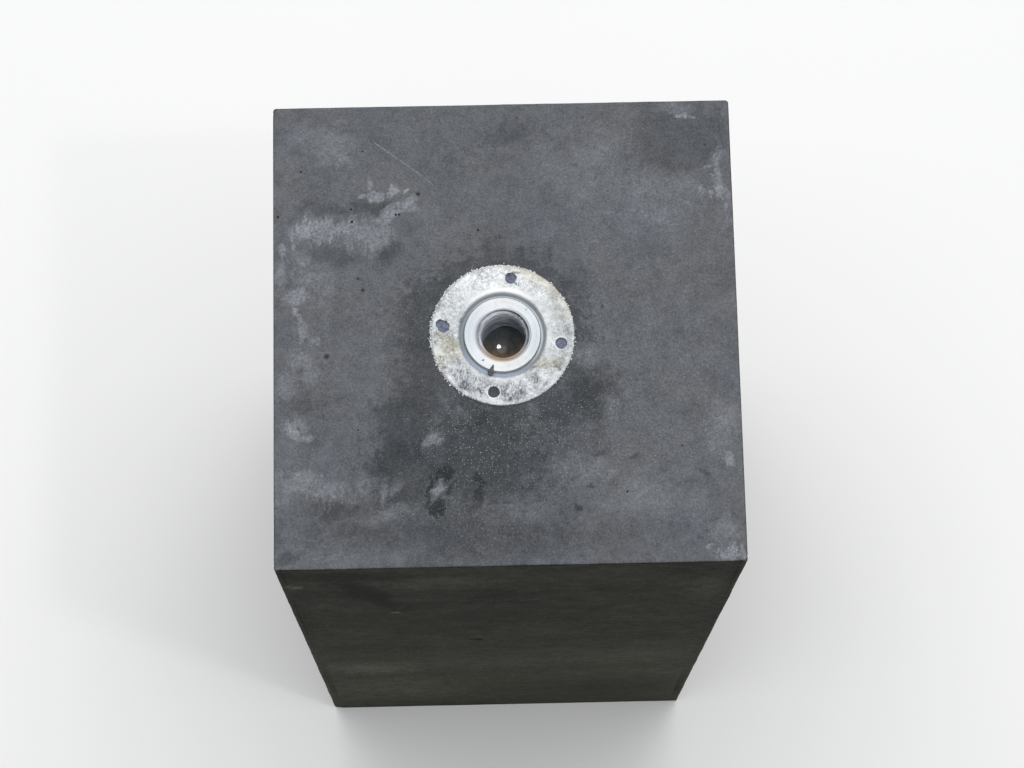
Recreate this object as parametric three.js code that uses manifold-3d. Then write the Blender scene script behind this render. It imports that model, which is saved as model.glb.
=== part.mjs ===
// A cast concrete pier block with a flanged, threaded steel socket set flush in its top face.
// Millimetres, +Z up. The origin is the middle of the underside, and the front looks towards -Y.

import * as THREE from 'three';
import { mergeVertices } from 'three/addons/utils/BufferGeometryUtils.js';
import Module from 'manifold-3d';

const wasm = await Module();
wasm.setup();

// Concrete block
const BLOCK_WIDTH = 180; // along X
const BLOCK_DEPTH = 185; // along Y
const BLOCK_HEIGHT = 420; // along Z
const ARRIS = 1.2; // the small flat that every edge leaves the mould with

// Where the socket's axis meets the top face: a little left of the middle and towards the front
const SOCKET_X = -1.4;
const SOCKET_Y = -2.0;

// Flange plate, a stamped steel ring whose top stands just proud of the concrete
const PLATE_RADIUS = 28;
const PLATE_THICKNESS = 3;
const PLATE_PROUD = 0.8;
const PLATE_EDGE_ROUND = 0.6;
const SHOULDER_ROUND = 1.1; // the soft inner edge that drops into the groove round the hub

// Four nail holes held the plate to the mould. The pattern is turned clockwise, seen from above.
const NAIL_HOLES = 4;
const NAIL_HOLE_RADIUS = 2.25;
const NAIL_CIRCLE_RADIUS = 23;
const NAIL_PATTERN_TURN = THREE.MathUtils.degToRad(-9.4);

// Socket: a round hub with a 20 mm coarse thread, bored here at the thread's inner diameter
const HUB_RADIUS = 15;
const HUB_PROUD = 1.3;
const HUB_EDGE_ROUND = 0.9;
const GROOVE_WIDTH = 1.3;
const SOCKET_DEPTH = 20; // from the concrete's top face to the socket's lower end
const BORE_RADIUS = 8.65;
const MOUTH_RADIUS = 10.4;
const MOUTH_DEPTH = 1.4;

// End cap: keeps the wet concrete out of the thread, with a bowl-shaped hollow facing up
const CAP_HEIGHT = 8.7;
const BOWL_RADIUS = 10;
const BOWL_MOUTH_RADIUS = 9.4;

const GAP = 0.3; // clearance between pieces that touch
const ROUND_STEPS = 64; // facets round every turned piece
const HOLE_STEPS = 20; // facets round a nail hole
const ARC_STEPS = 3; // facets across a rounded edge
const BOWL_STEPS = 7; // facets from the bowl's rim to its bottom
const MERGE_DISTANCE = 1e-4;

// Points along an arc in the half plane of a turned profile, where x is the radius and y the height.
function arcPoints(centreX, centreY, radius, fromDegrees, toDegrees, steps) {
  const points = [];
  for (let i = 0; i <= steps; i += 1) {
    const angle = THREE.MathUtils.degToRad(fromDegrees + ((toDegrees - fromDegrees) * i) / steps);
    points.push(new THREE.Vector2(centreX + radius * Math.cos(angle), centreY + radius * Math.sin(angle)));
  }
  return points;
}

function point(radius, height) {
  return new THREE.Vector2(radius, height);
}

// Turns a profile round the vertical axis. Heights are measured from the concrete's top face.
function turned(profile) {
  return new THREE.LatheGeometry(profile, ROUND_STEPS).rotateX(Math.PI / 2);
}

// A three.js geometry as a closed solid: shared corners are merged and collapsed facets dropped.
function solidOf(geometry) {
  const bare = geometry.clone();
  bare.deleteAttribute('normal');
  bare.deleteAttribute('uv');
  const merged = mergeVertices(bare, MERGE_DISTANCE);
  const corners = merged.index.array;
  const kept = [];
  for (let i = 0; i < corners.length; i += 3) {
    const [a, b, c] = corners.slice(i, i + 3);
    if (a !== b && b !== c && c !== a) {
      kept.push(a, b, c);
    }
  }
  const mesh = new wasm.Mesh({
    numProp: 3,
    vertProperties: new Float32Array(merged.attributes.position.array),
    triVerts: new Uint32Array(kept),
  });
  return new wasm.Manifold(mesh);
}

function geometryOf(solid) {
  const { vertProperties, triVerts } = solid.getMesh();
  const geometry = new THREE.BufferGeometry();
  geometry.setAttribute('position', new THREE.BufferAttribute(new Float32Array(vertProperties), 3));
  geometry.setIndex(new THREE.BufferAttribute(new Uint32Array(triVerts), 1));
  geometry.computeVertexNormals();
  return geometry;
}

// The block's outline seen from above, one arris smaller all round, with its corners cut.
function blockOutline() {
  const x = BLOCK_WIDTH / 2 - ARRIS;
  const y = BLOCK_DEPTH / 2 - ARRIS;
  const corners = [[1, -1], [1, 1], [-1, 1], [-1, -1]];
  const outline = [];
  for (const [sx, sy] of corners) {
    const along = point(sx * x, sy * (y - ARRIS));
    const across = point(sx * (x - ARRIS), sy * y);
    outline.push(...(sx * sy < 0 ? [across, along] : [along, across]));
  }
  return new THREE.Shape(outline);
}

// The room that the plate, socket and cap take up in the concrete, with clearance all round.
function socketPocket() {
  const plateUnderside = PLATE_PROUD - PLATE_THICKNESS;
  const bottom = -SOCKET_DEPTH - GAP - CAP_HEIGHT - GAP;
  const above = HUB_PROUD + ARRIS;
  return turned([
    point(0, bottom),
    point(HUB_RADIUS + GAP, bottom),
    point(HUB_RADIUS + GAP, plateUnderside - GAP),
    point(PLATE_RADIUS + GAP, plateUnderside - GAP),
    point(PLATE_RADIUS + GAP, above),
    point(0, above),
  ]);
}

function concreteBlock() {
  const body = new THREE.ExtrudeGeometry(blockOutline(), {
    depth: BLOCK_HEIGHT - 2 * ARRIS,
    bevelEnabled: true,
    bevelSize: ARRIS,
    bevelThickness: ARRIS,
    bevelSegments: 1,
  });
  body.translate(0, 0, ARRIS);
  const pocket = socketPocket().translate(SOCKET_X, SOCKET_Y, BLOCK_HEIGHT);
  return geometryOf(solidOf(body).subtract(solidOf(pocket)));
}

function flangePlate() {
  const top = PLATE_PROUD;
  const bottom = PLATE_PROUD - PLATE_THICKNESS;
  const inner = HUB_RADIUS + GAP;
  const shoulder = inner + GROOVE_WIDTH + SHOULDER_ROUND;
  const profile = [
    point(inner, bottom),
    point(PLATE_RADIUS, bottom),
    ...arcPoints(PLATE_RADIUS - PLATE_EDGE_ROUND, top - PLATE_EDGE_ROUND, PLATE_EDGE_ROUND, 0, 90, ARC_STEPS),
    ...arcPoints(shoulder, top - SHOULDER_ROUND, SHOULDER_ROUND, 90, 180, ARC_STEPS),
    point(inner, top - SHOULDER_ROUND),
    point(inner, bottom),
  ];
  let plate = solidOf(turned(profile));
  for (let i = 0; i < NAIL_HOLES; i += 1) {
    const angle = NAIL_PATTERN_TURN + (i * 2 * Math.PI) / NAIL_HOLES;
    const height = 2 * PLATE_THICKNESS + 2 * PLATE_PROUD;
    const hole = new THREE.CylinderGeometry(NAIL_HOLE_RADIUS, NAIL_HOLE_RADIUS, height, HOLE_STEPS);
    hole.rotateX(Math.PI / 2);
    hole.translate(NAIL_CIRCLE_RADIUS * Math.cos(angle), NAIL_CIRCLE_RADIUS * Math.sin(angle), 0);
    plate = plate.subtract(solidOf(hole));
  }
  return geometryOf(plate);
}

function threadedSocket() {
  const top = HUB_PROUD;
  return turned([
    point(BORE_RADIUS, -SOCKET_DEPTH),
    point(HUB_RADIUS, -SOCKET_DEPTH),
    ...arcPoints(HUB_RADIUS - HUB_EDGE_ROUND, top - HUB_EDGE_ROUND, HUB_EDGE_ROUND, 0, 90, ARC_STEPS),
    point(MOUTH_RADIUS, top),
    point(BORE_RADIUS, top - MOUTH_DEPTH),
    point(BORE_RADIUS, -SOCKET_DEPTH),
  ]);
}

function socketEndCap() {
  const top = -SOCKET_DEPTH - GAP;
  const rimAngle = THREE.MathUtils.radToDeg(Math.acos(BOWL_MOUTH_RADIUS / BOWL_RADIUS));
  const bowlCentre = top + BOWL_RADIUS * Math.sin(THREE.MathUtils.degToRad(rimAngle));
  return turned([
    point(0, top - CAP_HEIGHT),
    point(HUB_RADIUS, top - CAP_HEIGHT),
    point(HUB_RADIUS, top),
    ...arcPoints(0, bowlCentre, BOWL_RADIUS, -rimAngle, -90, BOWL_STEPS).map((p) => point(Math.max(p.x, 0), p.y)),
  ]);
}

const MATERIALS = {
  concrete: new THREE.MeshStandardMaterial({ color: 0x54575a, roughness: 0.85, metalness: 0 }),
  zincPlate: new THREE.MeshStandardMaterial({ color: 0xc4c9cc, roughness: 0.45, metalness: 0.9 }),
  zincSocket: new THREE.MeshStandardMaterial({ color: 0xd2d8de, roughness: 0.3, metalness: 0.9 }),
  capPlastic: new THREE.MeshStandardMaterial({ color: 0x4a4239, roughness: 0.2, metalness: 0 }),
};

function piece(name, geometry, material) {
  const mesh = new THREE.Mesh(geometry, material);
  mesh.name = name;
  return mesh;
}

const socket = new THREE.Group();
socket.position.set(SOCKET_X, SOCKET_Y, BLOCK_HEIGHT);
socket.add(piece('flange_plate', flangePlate(), MATERIALS.zincPlate));
socket.add(piece('threaded_socket', threadedSocket(), MATERIALS.zincSocket));
socket.add(piece('socket_end_cap', socketEndCap(), MATERIALS.capPlastic));

const group = new THREE.Group();
group.add(piece('concrete_block', concreteBlock(), MATERIALS.concrete));
group.add(socket);

export default group;
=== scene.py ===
# %% [markdown]
# # A cast concrete pier block
# The real object is a footing block of dark grey concrete, cast in a steel mould. A zinc-plated flange
# with a threaded socket was nailed into the mould first, so it sits flush in the finished top face. This
# script dresses the block's CAD frame in Blender: worn edges, blow holes, a real thread, and the stains
# that years outdoors left. Everything is built in millimetres from the frame's own boxes and turned to
# metres when a mesh is made.

# %% Load the frame
import math
from functools import partial
import bmesh
import bpy
import numpy as np
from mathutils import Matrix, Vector, noise
from mathutils.geometry import delaunay_2d_cdt


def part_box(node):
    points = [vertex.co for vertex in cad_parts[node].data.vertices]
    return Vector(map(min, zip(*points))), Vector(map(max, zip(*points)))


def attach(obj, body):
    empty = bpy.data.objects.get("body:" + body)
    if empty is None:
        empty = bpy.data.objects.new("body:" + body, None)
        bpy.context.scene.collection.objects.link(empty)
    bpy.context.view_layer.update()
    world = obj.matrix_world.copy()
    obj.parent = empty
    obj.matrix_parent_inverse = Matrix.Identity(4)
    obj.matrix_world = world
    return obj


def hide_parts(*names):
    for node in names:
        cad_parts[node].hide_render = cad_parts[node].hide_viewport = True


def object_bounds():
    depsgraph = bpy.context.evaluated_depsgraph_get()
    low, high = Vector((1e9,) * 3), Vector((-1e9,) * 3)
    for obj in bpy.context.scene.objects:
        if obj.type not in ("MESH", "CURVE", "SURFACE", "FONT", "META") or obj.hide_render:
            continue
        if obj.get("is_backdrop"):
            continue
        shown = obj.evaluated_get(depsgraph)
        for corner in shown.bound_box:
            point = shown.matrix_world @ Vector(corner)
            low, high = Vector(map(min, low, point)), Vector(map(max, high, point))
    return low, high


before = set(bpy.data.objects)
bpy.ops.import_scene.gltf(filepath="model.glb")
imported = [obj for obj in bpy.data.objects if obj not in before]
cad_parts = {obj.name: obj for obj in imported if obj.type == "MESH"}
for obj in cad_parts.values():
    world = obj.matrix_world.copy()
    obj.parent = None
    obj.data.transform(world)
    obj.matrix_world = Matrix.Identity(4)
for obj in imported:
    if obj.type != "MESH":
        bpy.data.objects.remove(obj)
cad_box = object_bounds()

MM = 0.001
print("CAD box in metres:", [tuple(round(v, 4) for v in corner) for corner in cad_box])

# %% [markdown]
# The block's size, the socket's axis and every height come from the frame, so a change in the CAD moves
# the looks with it. The names below are used all through the script.

# %% Sizes from the frame
def box_mm(node):
    """Lowest and highest corner of a CAD node in millimetres."""
    low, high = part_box(node)
    return np.array(low) / MM, np.array(high) / MM


block_low, block_high = box_mm("concrete_block")
plate_low, plate_high = box_mm("flange_plate")
hub_low, hub_high = box_mm("threaded_socket")
cap_low, cap_high = box_mm("socket_end_cap")
WIDTH, DEPTH, HEIGHT = block_high - block_low
AXIS_X, AXIS_Y = (plate_low + plate_high)[:2] / 2
PLATE_RADIUS = (plate_high[0] - plate_low[0]) / 2
HUB_RADIUS = (hub_high[0] - hub_low[0]) / 2
PLATE_TOP, PLATE_BOTTOM = plate_high[2], plate_low[2]
HUB_TOP, HUB_BOTTOM = hub_high[2], hub_low[2]
CAP_TOP, CAP_BOTTOM = cap_high[2], cap_low[2]
print(f"block {WIDTH:.0f} x {DEPTH:.0f} x {HEIGHT:.0f} mm,",
      f"flange {2 * PLATE_RADIUS:.0f} mm, hub {2 * HUB_RADIUS:.0f} mm")


# %% [markdown]
# ## Camera
# The photograph was taken by someone standing over the block: the camera is about 1.45 m above the floor,
# looks down within 14 degrees of straight down, and is zoomed in to a 97 mm lens. A long lens keeps the
# block's sides from splaying. The place and turn were solved from the block's six visible corners.

# %% Camera
CAMERA_PLACE_MM = (-10.6, -274.2, 1453.2)
CAMERA_TURN_DEG = (13.754, -0.382, -1.271)
CAMERA_LENS_MM = 97.05
camera_data = bpy.data.cameras.new("camera")
camera_data.lens = CAMERA_LENS_MM
camera = bpy.data.objects.new("camera", camera_data)
camera.location = [v * MM for v in CAMERA_PLACE_MM]
camera.rotation_euler = [math.radians(v) for v in CAMERA_TURN_DEG]
bpy.context.scene.collection.objects.link(camera)
bpy.context.scene.camera = camera
print("camera height above the floor:", CAMERA_PLACE_MM[2], "mm")

# %% [markdown]
# ## Making meshes from points
# A worn casting needs many points along its edges and around its holes, and few on its flat faces. A grid
# would waste points on the flats, so each flat sheet is a cloud of points placed by rules,
# joined up by Delaunay triangulation, which always gives the plumpest triangles that the points allow.

# %% Point and mesh helpers
def make_piece(name, points, faces, sharp_degrees=50, **point_values):
    """A smooth mesh object on the root body, from points in mm. Each value has one number per point."""
    mesh = bpy.data.meshes.new(name)
    mesh.from_pydata((np.asarray(points) * MM).tolist(), [], [list(map(int, face)) for face in faces])
    for label, values in point_values.items():
        attribute = mesh.attributes.new(label, "FLOAT", "POINT")
        attribute.data.foreach_set("value", np.asarray(values, np.float32))
    shell = bmesh.new()
    shell.from_mesh(mesh)
    bmesh.ops.recalc_face_normals(shell, faces=shell.faces)
    open_edges = sum(not edge.is_manifold for edge in shell.edges)
    shell.to_mesh(mesh)
    shell.free()
    mesh.shade_smooth()
    mesh.set_sharp_from_angle(angle=math.radians(sharp_degrees))
    piece = bpy.data.objects.new(name, mesh)
    bpy.context.scene.collection.objects.link(piece)
    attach(piece, "root")
    print(f"{name}: {len(mesh.vertices)} points, {len(mesh.polygons)} faces, {open_edges} open edges")
    return piece


SEED_STEP = Vector((17.3, 5.1, 9.7))  # each seed looks at another part of the same noise


def rough(points, lump_mm, octaves=4, seed=0):
    """Fractal noise, about -1 to 1, at each point. lump_mm is the size of its largest lumps."""
    shift = SEED_STEP * (seed + 1)
    return np.array([noise.fractal(Vector(p) / lump_mm + shift, 1.0, 2.0, octaves) for p in points])


def ring(x, y, radius, spacing):
    """Points evenly round a circle in 2D. radius may be a number or a function of the angle."""
    size = radius(0.0) if callable(radius) else radius
    count = max(8, round(2 * math.pi * size / spacing))
    angles = np.arange(count) * 2 * math.pi / count
    radii = np.array([radius(a) for a in angles]) if callable(radius) else radius
    return np.column_stack([x + radii * np.cos(angles), y + radii * np.sin(angles)])


DECIMALS = 3  # places are kept to a thousandth of a millimetre
SAME_POINT = 1e-5  # mm; points nearer to each other than this are one
SLIVER_AREA = 1e-4  # square mm; thinner triangles only join points in a row


def triangulate(points):
    """Delaunay triangles over a cloud of 2D points: the points that were kept, and the triangles."""
    cloud = [Vector(p) for p in np.round(points, DECIMALS)]
    kept, _, faces, _, _, _ = delaunay_2d_cdt(cloud, [], [], 0, SAME_POINT)
    kept, faces = np.round(np.array(kept), DECIMALS), np.array(faces)
    (ax, ay), (bx, by), (cx, cy) = (kept[faces[:, i]].T for i in range(3))
    area = abs((bx - ax) * (cy - ay) - (cx - ax) * (by - ay)) / 2
    return kept, faces[area > SLIVER_AREA]


def smooth_step(low, high, values):
    """0 below low, 1 above high, and a soft S between."""
    share = np.clip((values - low) / (high - low), 0, 1)
    return share * share * (3 - 2 * share)


# %% [markdown]
# ## The concrete block
# Cast concrete copies its mould, so the faces are flat to a few tenths of a millimetre and the edges,
# which builders call arrises, are tight. What gives it away as concrete is what went wrong: air bubbles
# trapped against the mould leave blow holes, the mould's corner strips print faint lines, and knocks
# break shell-shaped chips out of the arrises. Those are all real dents in the mesh here, and only
# sand-fine grain is left to the material.

# %% Blow holes, chips and marks
# Holes seen in the photograph: face, place across and up the face, radius and depth in mm.
SEEN_HOLES = [
    ("front", -14.6, 232.4, 2.9, 2.6),
    ("front", -29.6, 91.7, 1.1, 1.0),
    ("front", 53.6, 3.4, 1.6, 1.2),
    ("front", 63.4, 3.0, 1.3, 1.0),
    ("top", -42.1, 47.6, 0.45, 0.6),
    ("top", -40.8, 47.6, 0.4, 0.6),
    ("top", -59.2, 45.0, 0.5, 0.6),
    ("top", -33.2, 55.9, 0.75, 0.5),
    ("top", -57.1, 21.9, 0.5, 0.4),
    ("top", -55.2, 17.2, 0.6, 0.4),
    ("top", -88.1, 47.5, 0.5, 0.5),
    ("top", -10.0, 40.7, 0.5, 0.4),
    ("top", -79.0, 65.9, 0.45, 0.4),
    ("top", -69.5, -9.1, 1.3, 0.25),
]
HOLES_PER_FACE = {"front": 14, "back": 40, "left": 36, "right": 32, "top": 17, "underside": 30}
SMALLEST_HOLE = 0.3
LARGEST_HOLE = {"top": 0.5, "front": 0.5}  # the larger ones that the photograph shows are in the list above
LARGEST_UNSEEN_HOLE = 1.9
HOLE_MARGIN = 6.0  # least distance from a hole to the face's edge
HOLE_SPACING = 2.5  # least distance between two holes, in their radii
FACES = {
    "top": ((1, 0, 0), (0, 1, 0)),
    "underside": ((0, 1, 0), (1, 0, 0)),
    "front": ((1, 0, 0), (0, 0, 1)),
    "back": ((-1, 0, 0), (0, 0, 1)),
    "left": ((0, -1, 0), (0, 0, 1)),
    "right": ((0, 1, 0), (0, 0, 1)),
}
POCKET_CLEARANCE = 4.0
ON_SURFACE = 0.01  # mm; a point nearer than this counts as on a surface
block_middle = np.array([0, 0, HEIGHT / 2])
block_half = np.array([WIDTH, DEPTH, HEIGHT]) / 2
rng = np.random.default_rng(41)


def face_frame(name):
    """A face's centre, its two directions and its outward normal, and its half sizes."""
    across, up = (np.array(direction, float) for direction in FACES[name])
    outward = np.cross(across, up)
    half_u, half_v = abs(across) @ block_half, abs(up) @ block_half
    return block_middle + outward * block_half, across, up, outward, half_u, half_v


def holes_on(name):
    """Centre in the face's own coordinates, radius and depth of each blow hole."""
    *_, half_u, half_v = face_frame(name)
    largest = LARGEST_HOLE.get(name, LARGEST_UNSEEN_HOLE)
    rows = []
    for face, u, height, radius, depth in SEEN_HOLES:
        if face == name:
            rows.append((u, height - (HEIGHT / 2 if face == "front" else 0), radius, depth))
    while len(rows) < HOLES_PER_FACE[name]:
        radius = SMALLEST_HOLE + (largest - SMALLEST_HOLE) * rng.random() ** 4
        u, v = (rng.random(2) * 2 - 1) * (half_u - HOLE_MARGIN, half_v - HOLE_MARGIN)
        on_pocket = name == "top" and math.hypot(u - AXIS_X, v - AXIS_Y) < PLATE_RADIUS + POCKET_CLEARANCE
        clear = all(math.hypot(u - r[0], v - r[1]) > HOLE_SPACING * (radius + r[2]) for r in rows)
        if clear and not on_pocket:
            rows.append((u, v, radius, radius * (0.5 + 0.5 * rng.random())))
    return rows


holes = {name: holes_on(name) for name in FACES}
print("blow holes:", {name: len(rows) for name, rows in holes.items()})

# %% [markdown]
# Each face is a cloud of points: tight rows along its edges, rings round each hole, and a loose jittered
# grid in between. Neighbouring faces place their outermost row at the same spots, so they join without a
# seam.

# %% One face as a sheet of triangles
EDGE_SPACING = 0.8
# Rows along a face's edges: how far in, and how many times the edge spacing lies between the row's points.
EDGE_ROWS = [(0.0, 1), (0.35, 1), (0.8, 1), (1.4, 1), (2.1, 1.2)]
EDGE_ROWS += [(2.4, 1.5), (2.7, 2), (4.1, 2.5), (4.4, 2.5), (4.7, 2.5)]
GRID_SPACING = {"top": 2.6, "underside": 6.0}
SIDE_GRID_SPACING = 4.2
GRID_JITTER = 0.5  # of the spacing
HOLE_RINGS = (0.4, 0.7, 0.9, 1.05, 1.3)  # radii of the rings of points round a hole, in its own radius
PLATE_RINGS = [(0.6, 0.8), (1.3, 1.2), (2.5, 2)]  # how far out from the plate's rim, and the points' spacing
SCRATCH = [(-49.9, 77.3), (-30.9, 62.9), (-27.6, 59.9)]
SCRATCH_SPACING = 0.7
SCRATCH_ROWS = (-0.5, -0.2, 0, 0.2, 0.5)  # how far each row of points lies beside the scratch
SCRATCH_CLEARANCE = 1.2


def edge_row(half_u, half_v, inset, spacing):
    """Points round a rectangle that lies inset from the sheet's edge."""
    u, v = half_u - inset, half_v - inset
    along_u = np.linspace(-u, u, round(2 * half_u / spacing) + 1)[:-1]
    along_v = np.linspace(-v, v, round(2 * half_v / spacing) + 1)[:-1]
    sides = [(along_u, -v + 0 * along_u), (u + 0 * along_v, along_v)]
    sides += [(-along_u, v + 0 * along_u), (-u + 0 * along_v, -along_v)]
    return np.vstack([np.column_stack(side) for side in sides])


def scratch_rows():
    """Five rows of points along the scratch, close enough together to carry its groove."""
    rows = []
    for (x0, y0), (x1, y1) in zip(SCRATCH, SCRATCH[1:]):
        length = math.hypot(x1 - x0, y1 - y0)
        t = np.linspace(0, 1, round(length / SCRATCH_SPACING))
        for side in SCRATCH_ROWS:
            x = x0 + (x1 - x0) * t - side * (y1 - y0) / length
            y = y0 + (y1 - y0) * t + side * (x1 - x0) / length
            rows.append(np.column_stack([x, y]))
    return np.vstack(rows)


def distance_to_line(points, line):
    """Shortest distance from 2D points to a line of straight stretches."""
    best = np.full(len(points), np.inf)
    for a, b in zip(line, line[1:]):
        start, way = np.array(a), np.array(b) - a
        t = np.clip((points - start) @ way / (way @ way), 0, 1)
        best = np.minimum(best, np.linalg.norm(points - start - t[:, None] * way, axis=1))
    return best


SHRINK_GAP = (0.03, 0.09)  # between plate and concrete: everywhere, and how much more along the front


def pocket_radius(angle):
    """The concrete meets the plate all round, but has shrunk from it along the front."""
    return PLATE_RADIUS + SHRINK_GAP[0] + SHRINK_GAP[1] * smooth_step(0.0, 0.9, -np.sin(angle))


def sheet(name):
    """The points of one face in its own two coordinates, and its triangles."""
    *_, half_u, half_v = face_frame(name)
    last_inset = EDGE_ROWS[-1][0]
    spacing = GRID_SPACING.get(name, SIDE_GRID_SPACING)
    counts = [round(2 * (half - last_inset) / spacing) for half in (half_u, half_v)]
    grid = np.stack(np.meshgrid(*(np.linspace(-1, 1, n)[1:-1] for n in counts)), -1).reshape(-1, 2)
    jitter = (rng.random(grid.shape) - 0.5) * spacing * GRID_JITTER
    grid = grid * (half_u - last_inset, half_v - last_inset) + jitter
    rings = []
    for u, v, radius, _ in holes[name]:
        grid = grid[np.hypot(grid[:, 0] - u, grid[:, 1] - v) > 2.2 * radius + 0.3]
        step = max(0.16, radius * 0.45)
        rings += [ring(u, v, radius * share, step) for share in HOLE_RINGS]
        rings.append(np.array([[u, v]]))
    if name == "top":
        grid = grid[np.hypot(grid[:, 0] - AXIS_X, grid[:, 1] - AXIS_Y) > PLATE_RADIUS + POCKET_CLEARANCE]
        grid = grid[distance_to_line(grid, SCRATCH) > SCRATCH_CLEARANCE]
        rings.append(ring(AXIS_X, AXIS_Y, pocket_radius, EDGE_SPACING))
        rings += [ring(AXIS_X, AXIS_Y, PLATE_RADIUS + extra, step) for extra, step in PLATE_RINGS]
        rings.append(scratch_rows())
    rows = [edge_row(half_u, half_v, inset, EDGE_SPACING * coarse) for inset, coarse in EDGE_ROWS]
    points, triangles = triangulate(np.vstack(rows + [grid] + rings))
    if name == "top":
        away = points - (AXIS_X, AXIS_Y)
        on_rim = np.hypot(*away.T) < pocket_radius(np.arctan2(away[:, 1], away[:, 0])) + ON_SURFACE
        triangles = triangles[~on_rim[triangles].all(1)]
    return points, triangles


# %% [markdown]
# The socket's well is turned like a pot: the rim of the hole in the top face is carried down under the
# plate, in to the barrel and on to the bottom. It is out of sight, apart from the floor that shows
# through the nail holes.

# %% Join the six faces and the well
POCKET_GAP = 0.3


def well_rows():
    """Rings of 3D points from the hole's rim to the middle of its floor."""
    rim = ring(AXIS_X, AXIS_Y, pocket_radius, EDGE_SPACING) - (AXIS_X, AXIS_Y)
    inner = (HUB_RADIUS + POCKET_GAP) / PLATE_RADIUS
    floor_z, bottom_z = PLATE_BOTTOM - POCKET_GAP, CAP_BOTTOM - POCKET_GAP
    steps = [(1, HEIGHT), (1, HEIGHT - 0.5), (1, floor_z), (0.9, floor_z), (0.75, floor_z), (inner, floor_z)]
    steps += [(inner, bottom_z), (inner / 2, bottom_z)]
    circles = [np.round(rim * size + (AXIS_X, AXIS_Y), DECIMALS) for size, _ in steps]
    return [np.column_stack([circle, np.full(len(rim), z)]) for circle, (_, z) in zip(circles, steps)]


def joined_block():
    """All points in mm and all triangles of the closed block, before any wear."""
    points, triangles, count = [], [], 0
    for name in FACES:
        flat, faces = sheet(name)
        centre, across, up, _, _, _ = face_frame(name)
        points.append(centre + flat[:, :1] * across + flat[:, 1:] * up)
        triangles.append(faces + count)
        count += len(flat)
    rows = well_rows()
    size = len(rows[0])
    a = np.arange(size)
    b = (a + 1) % size
    for i in range(len(rows) - 1):
        low, high = count + (i + 1) * size, count + i * size
        triangles.append(np.column_stack([high + a, low + a, low + b]))
        triangles.append(np.column_stack([high + a, low + b, high + b]))
    middle = count + len(rows) * size
    triangles.append(np.column_stack([middle - size + a, np.full(size, middle), middle - size + b]))
    points += rows + [np.array([[AXIS_X, AXIS_Y, CAP_BOTTOM - POCKET_GAP]])]
    points = np.vstack(points)
    _, first, merged = np.unique(np.round(points, DECIMALS), axis=0, return_index=True, return_inverse=True)
    triangles = merged.reshape(-1)[np.vstack(triangles)]
    a, b, c = triangles.T
    return points[first], triangles[(a != b) & (b != c) & (c != a)]


block_points, block_triangles = joined_block()
in_well = np.hypot(block_points[:, 0] - AXIS_X, block_points[:, 1] - AXIS_Y) < PLATE_RADIUS + ON_SURFACE
in_well &= (block_points[:, 2] > 1) & (block_points[:, 2] < HEIGHT - 0.1)
print("block before wear:", len(block_points), "points,", len(block_triangles), "triangles")

# %% [markdown]
# Wear comes in the order it does on site. First every arris is rounded, a little more in some places than
# in others. Then balls are pressed into the arrises and whatever lies inside a ball is pushed to its
# surface, which is the shell shape that a knock leaves. Last come the blow holes, the mould's lines and a
# faint waviness.

# %% Wear the block
ARRIS_RADIUS = 0.9
ARRIS_SPREAD = 0.45  # how far the radius wanders, as a share of itself
ARRIS_LIMITS = (0.35, 1.35)
CHIPS_PER_METRE = {"top": 9, "upright": 22, "bottom": 34}
CHIP_RADIUS = (1.5, 5.0)
CHIP_BITE = (0.25, 1.0)  # how deep a ball goes into the arris
SHALLOW_BITE = 0.55  # share of that bite on all arrises but the bottom ones
CHIP_TILT = 0.8
WORN_CORNERS = [(-1, 1, 1), (1, 1, 1), (1, -1, 1), (-1, -1, -1)]
CORNER_BALL = (1.2, 3.2)  # how far the ball's middle lies outside the corner along each axis, and its radius
ROUND_CORNER_BALL = (3.4, 9.2)  # the same for the broad round knock at the bottom, left of the front
MOULD_LINES = [(2.4, 1.0), (4.4, 0.8)]  # where the corner strips ended: how far in, and how strong
MOULD_LINE_WIDTH = 0.25
MOULD_LINE_DEPTH = 0.26
SCRATCH_WIDTH = 0.16
SCRATCH_DEPTH = 0.12
FLATNESS = 0.12


def edges_of_block():
    """Each arris as its kind, its middle, its direction and its half length."""
    rows = []
    for along in range(3):
        across = [axis for axis in range(3) if axis != along]
        for signs in ((-1, -1), (-1, 1), (1, -1), (1, 1)):
            middle = block_middle.copy()
            outward = np.zeros(3)
            for axis, sign in zip(across, signs):
                middle[axis] += sign * block_half[axis]
                outward[axis] = sign
            kind = "upright" if along == 2 else ("top" if outward[2] > 0 else "bottom")
            rows.append((kind, middle, np.eye(3)[along], block_half[along], outward / math.sqrt(2)))
    return rows


def chip_balls():
    """Centre and radius of the balls that break the chips out."""
    balls = []
    for kind, middle, way, half, outward in edges_of_block():
        for _ in range(round(2 * half * MM * CHIPS_PER_METRE[kind])):
            radius = CHIP_RADIUS[0] + (CHIP_RADIUS[1] - CHIP_RADIUS[0]) * rng.random() ** 2
            bite = CHIP_BITE[0] + (CHIP_BITE[1] - CHIP_BITE[0]) * rng.random() ** 2
            bite *= 1.0 if kind == "bottom" else SHALLOW_BITE
            tilt = (rng.random(3) - 0.5) * CHIP_TILT
            direction = outward + tilt - way * (tilt @ way)
            direction /= np.linalg.norm(direction)
            along = way * half * (2 * rng.random() - 1)
            balls.append((middle + along + direction * (radius - bite), radius))
    for corner in WORN_CORNERS:
        balls.append((block_middle + np.array(corner) * (block_half + CORNER_BALL[0]), CORNER_BALL[1]))
    knocked = np.array(WORN_CORNERS[-1])
    balls.append((block_middle + knocked * (block_half + ROUND_CORNER_BALL[0]), ROUND_CORNER_BALL[1]))
    return balls


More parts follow.
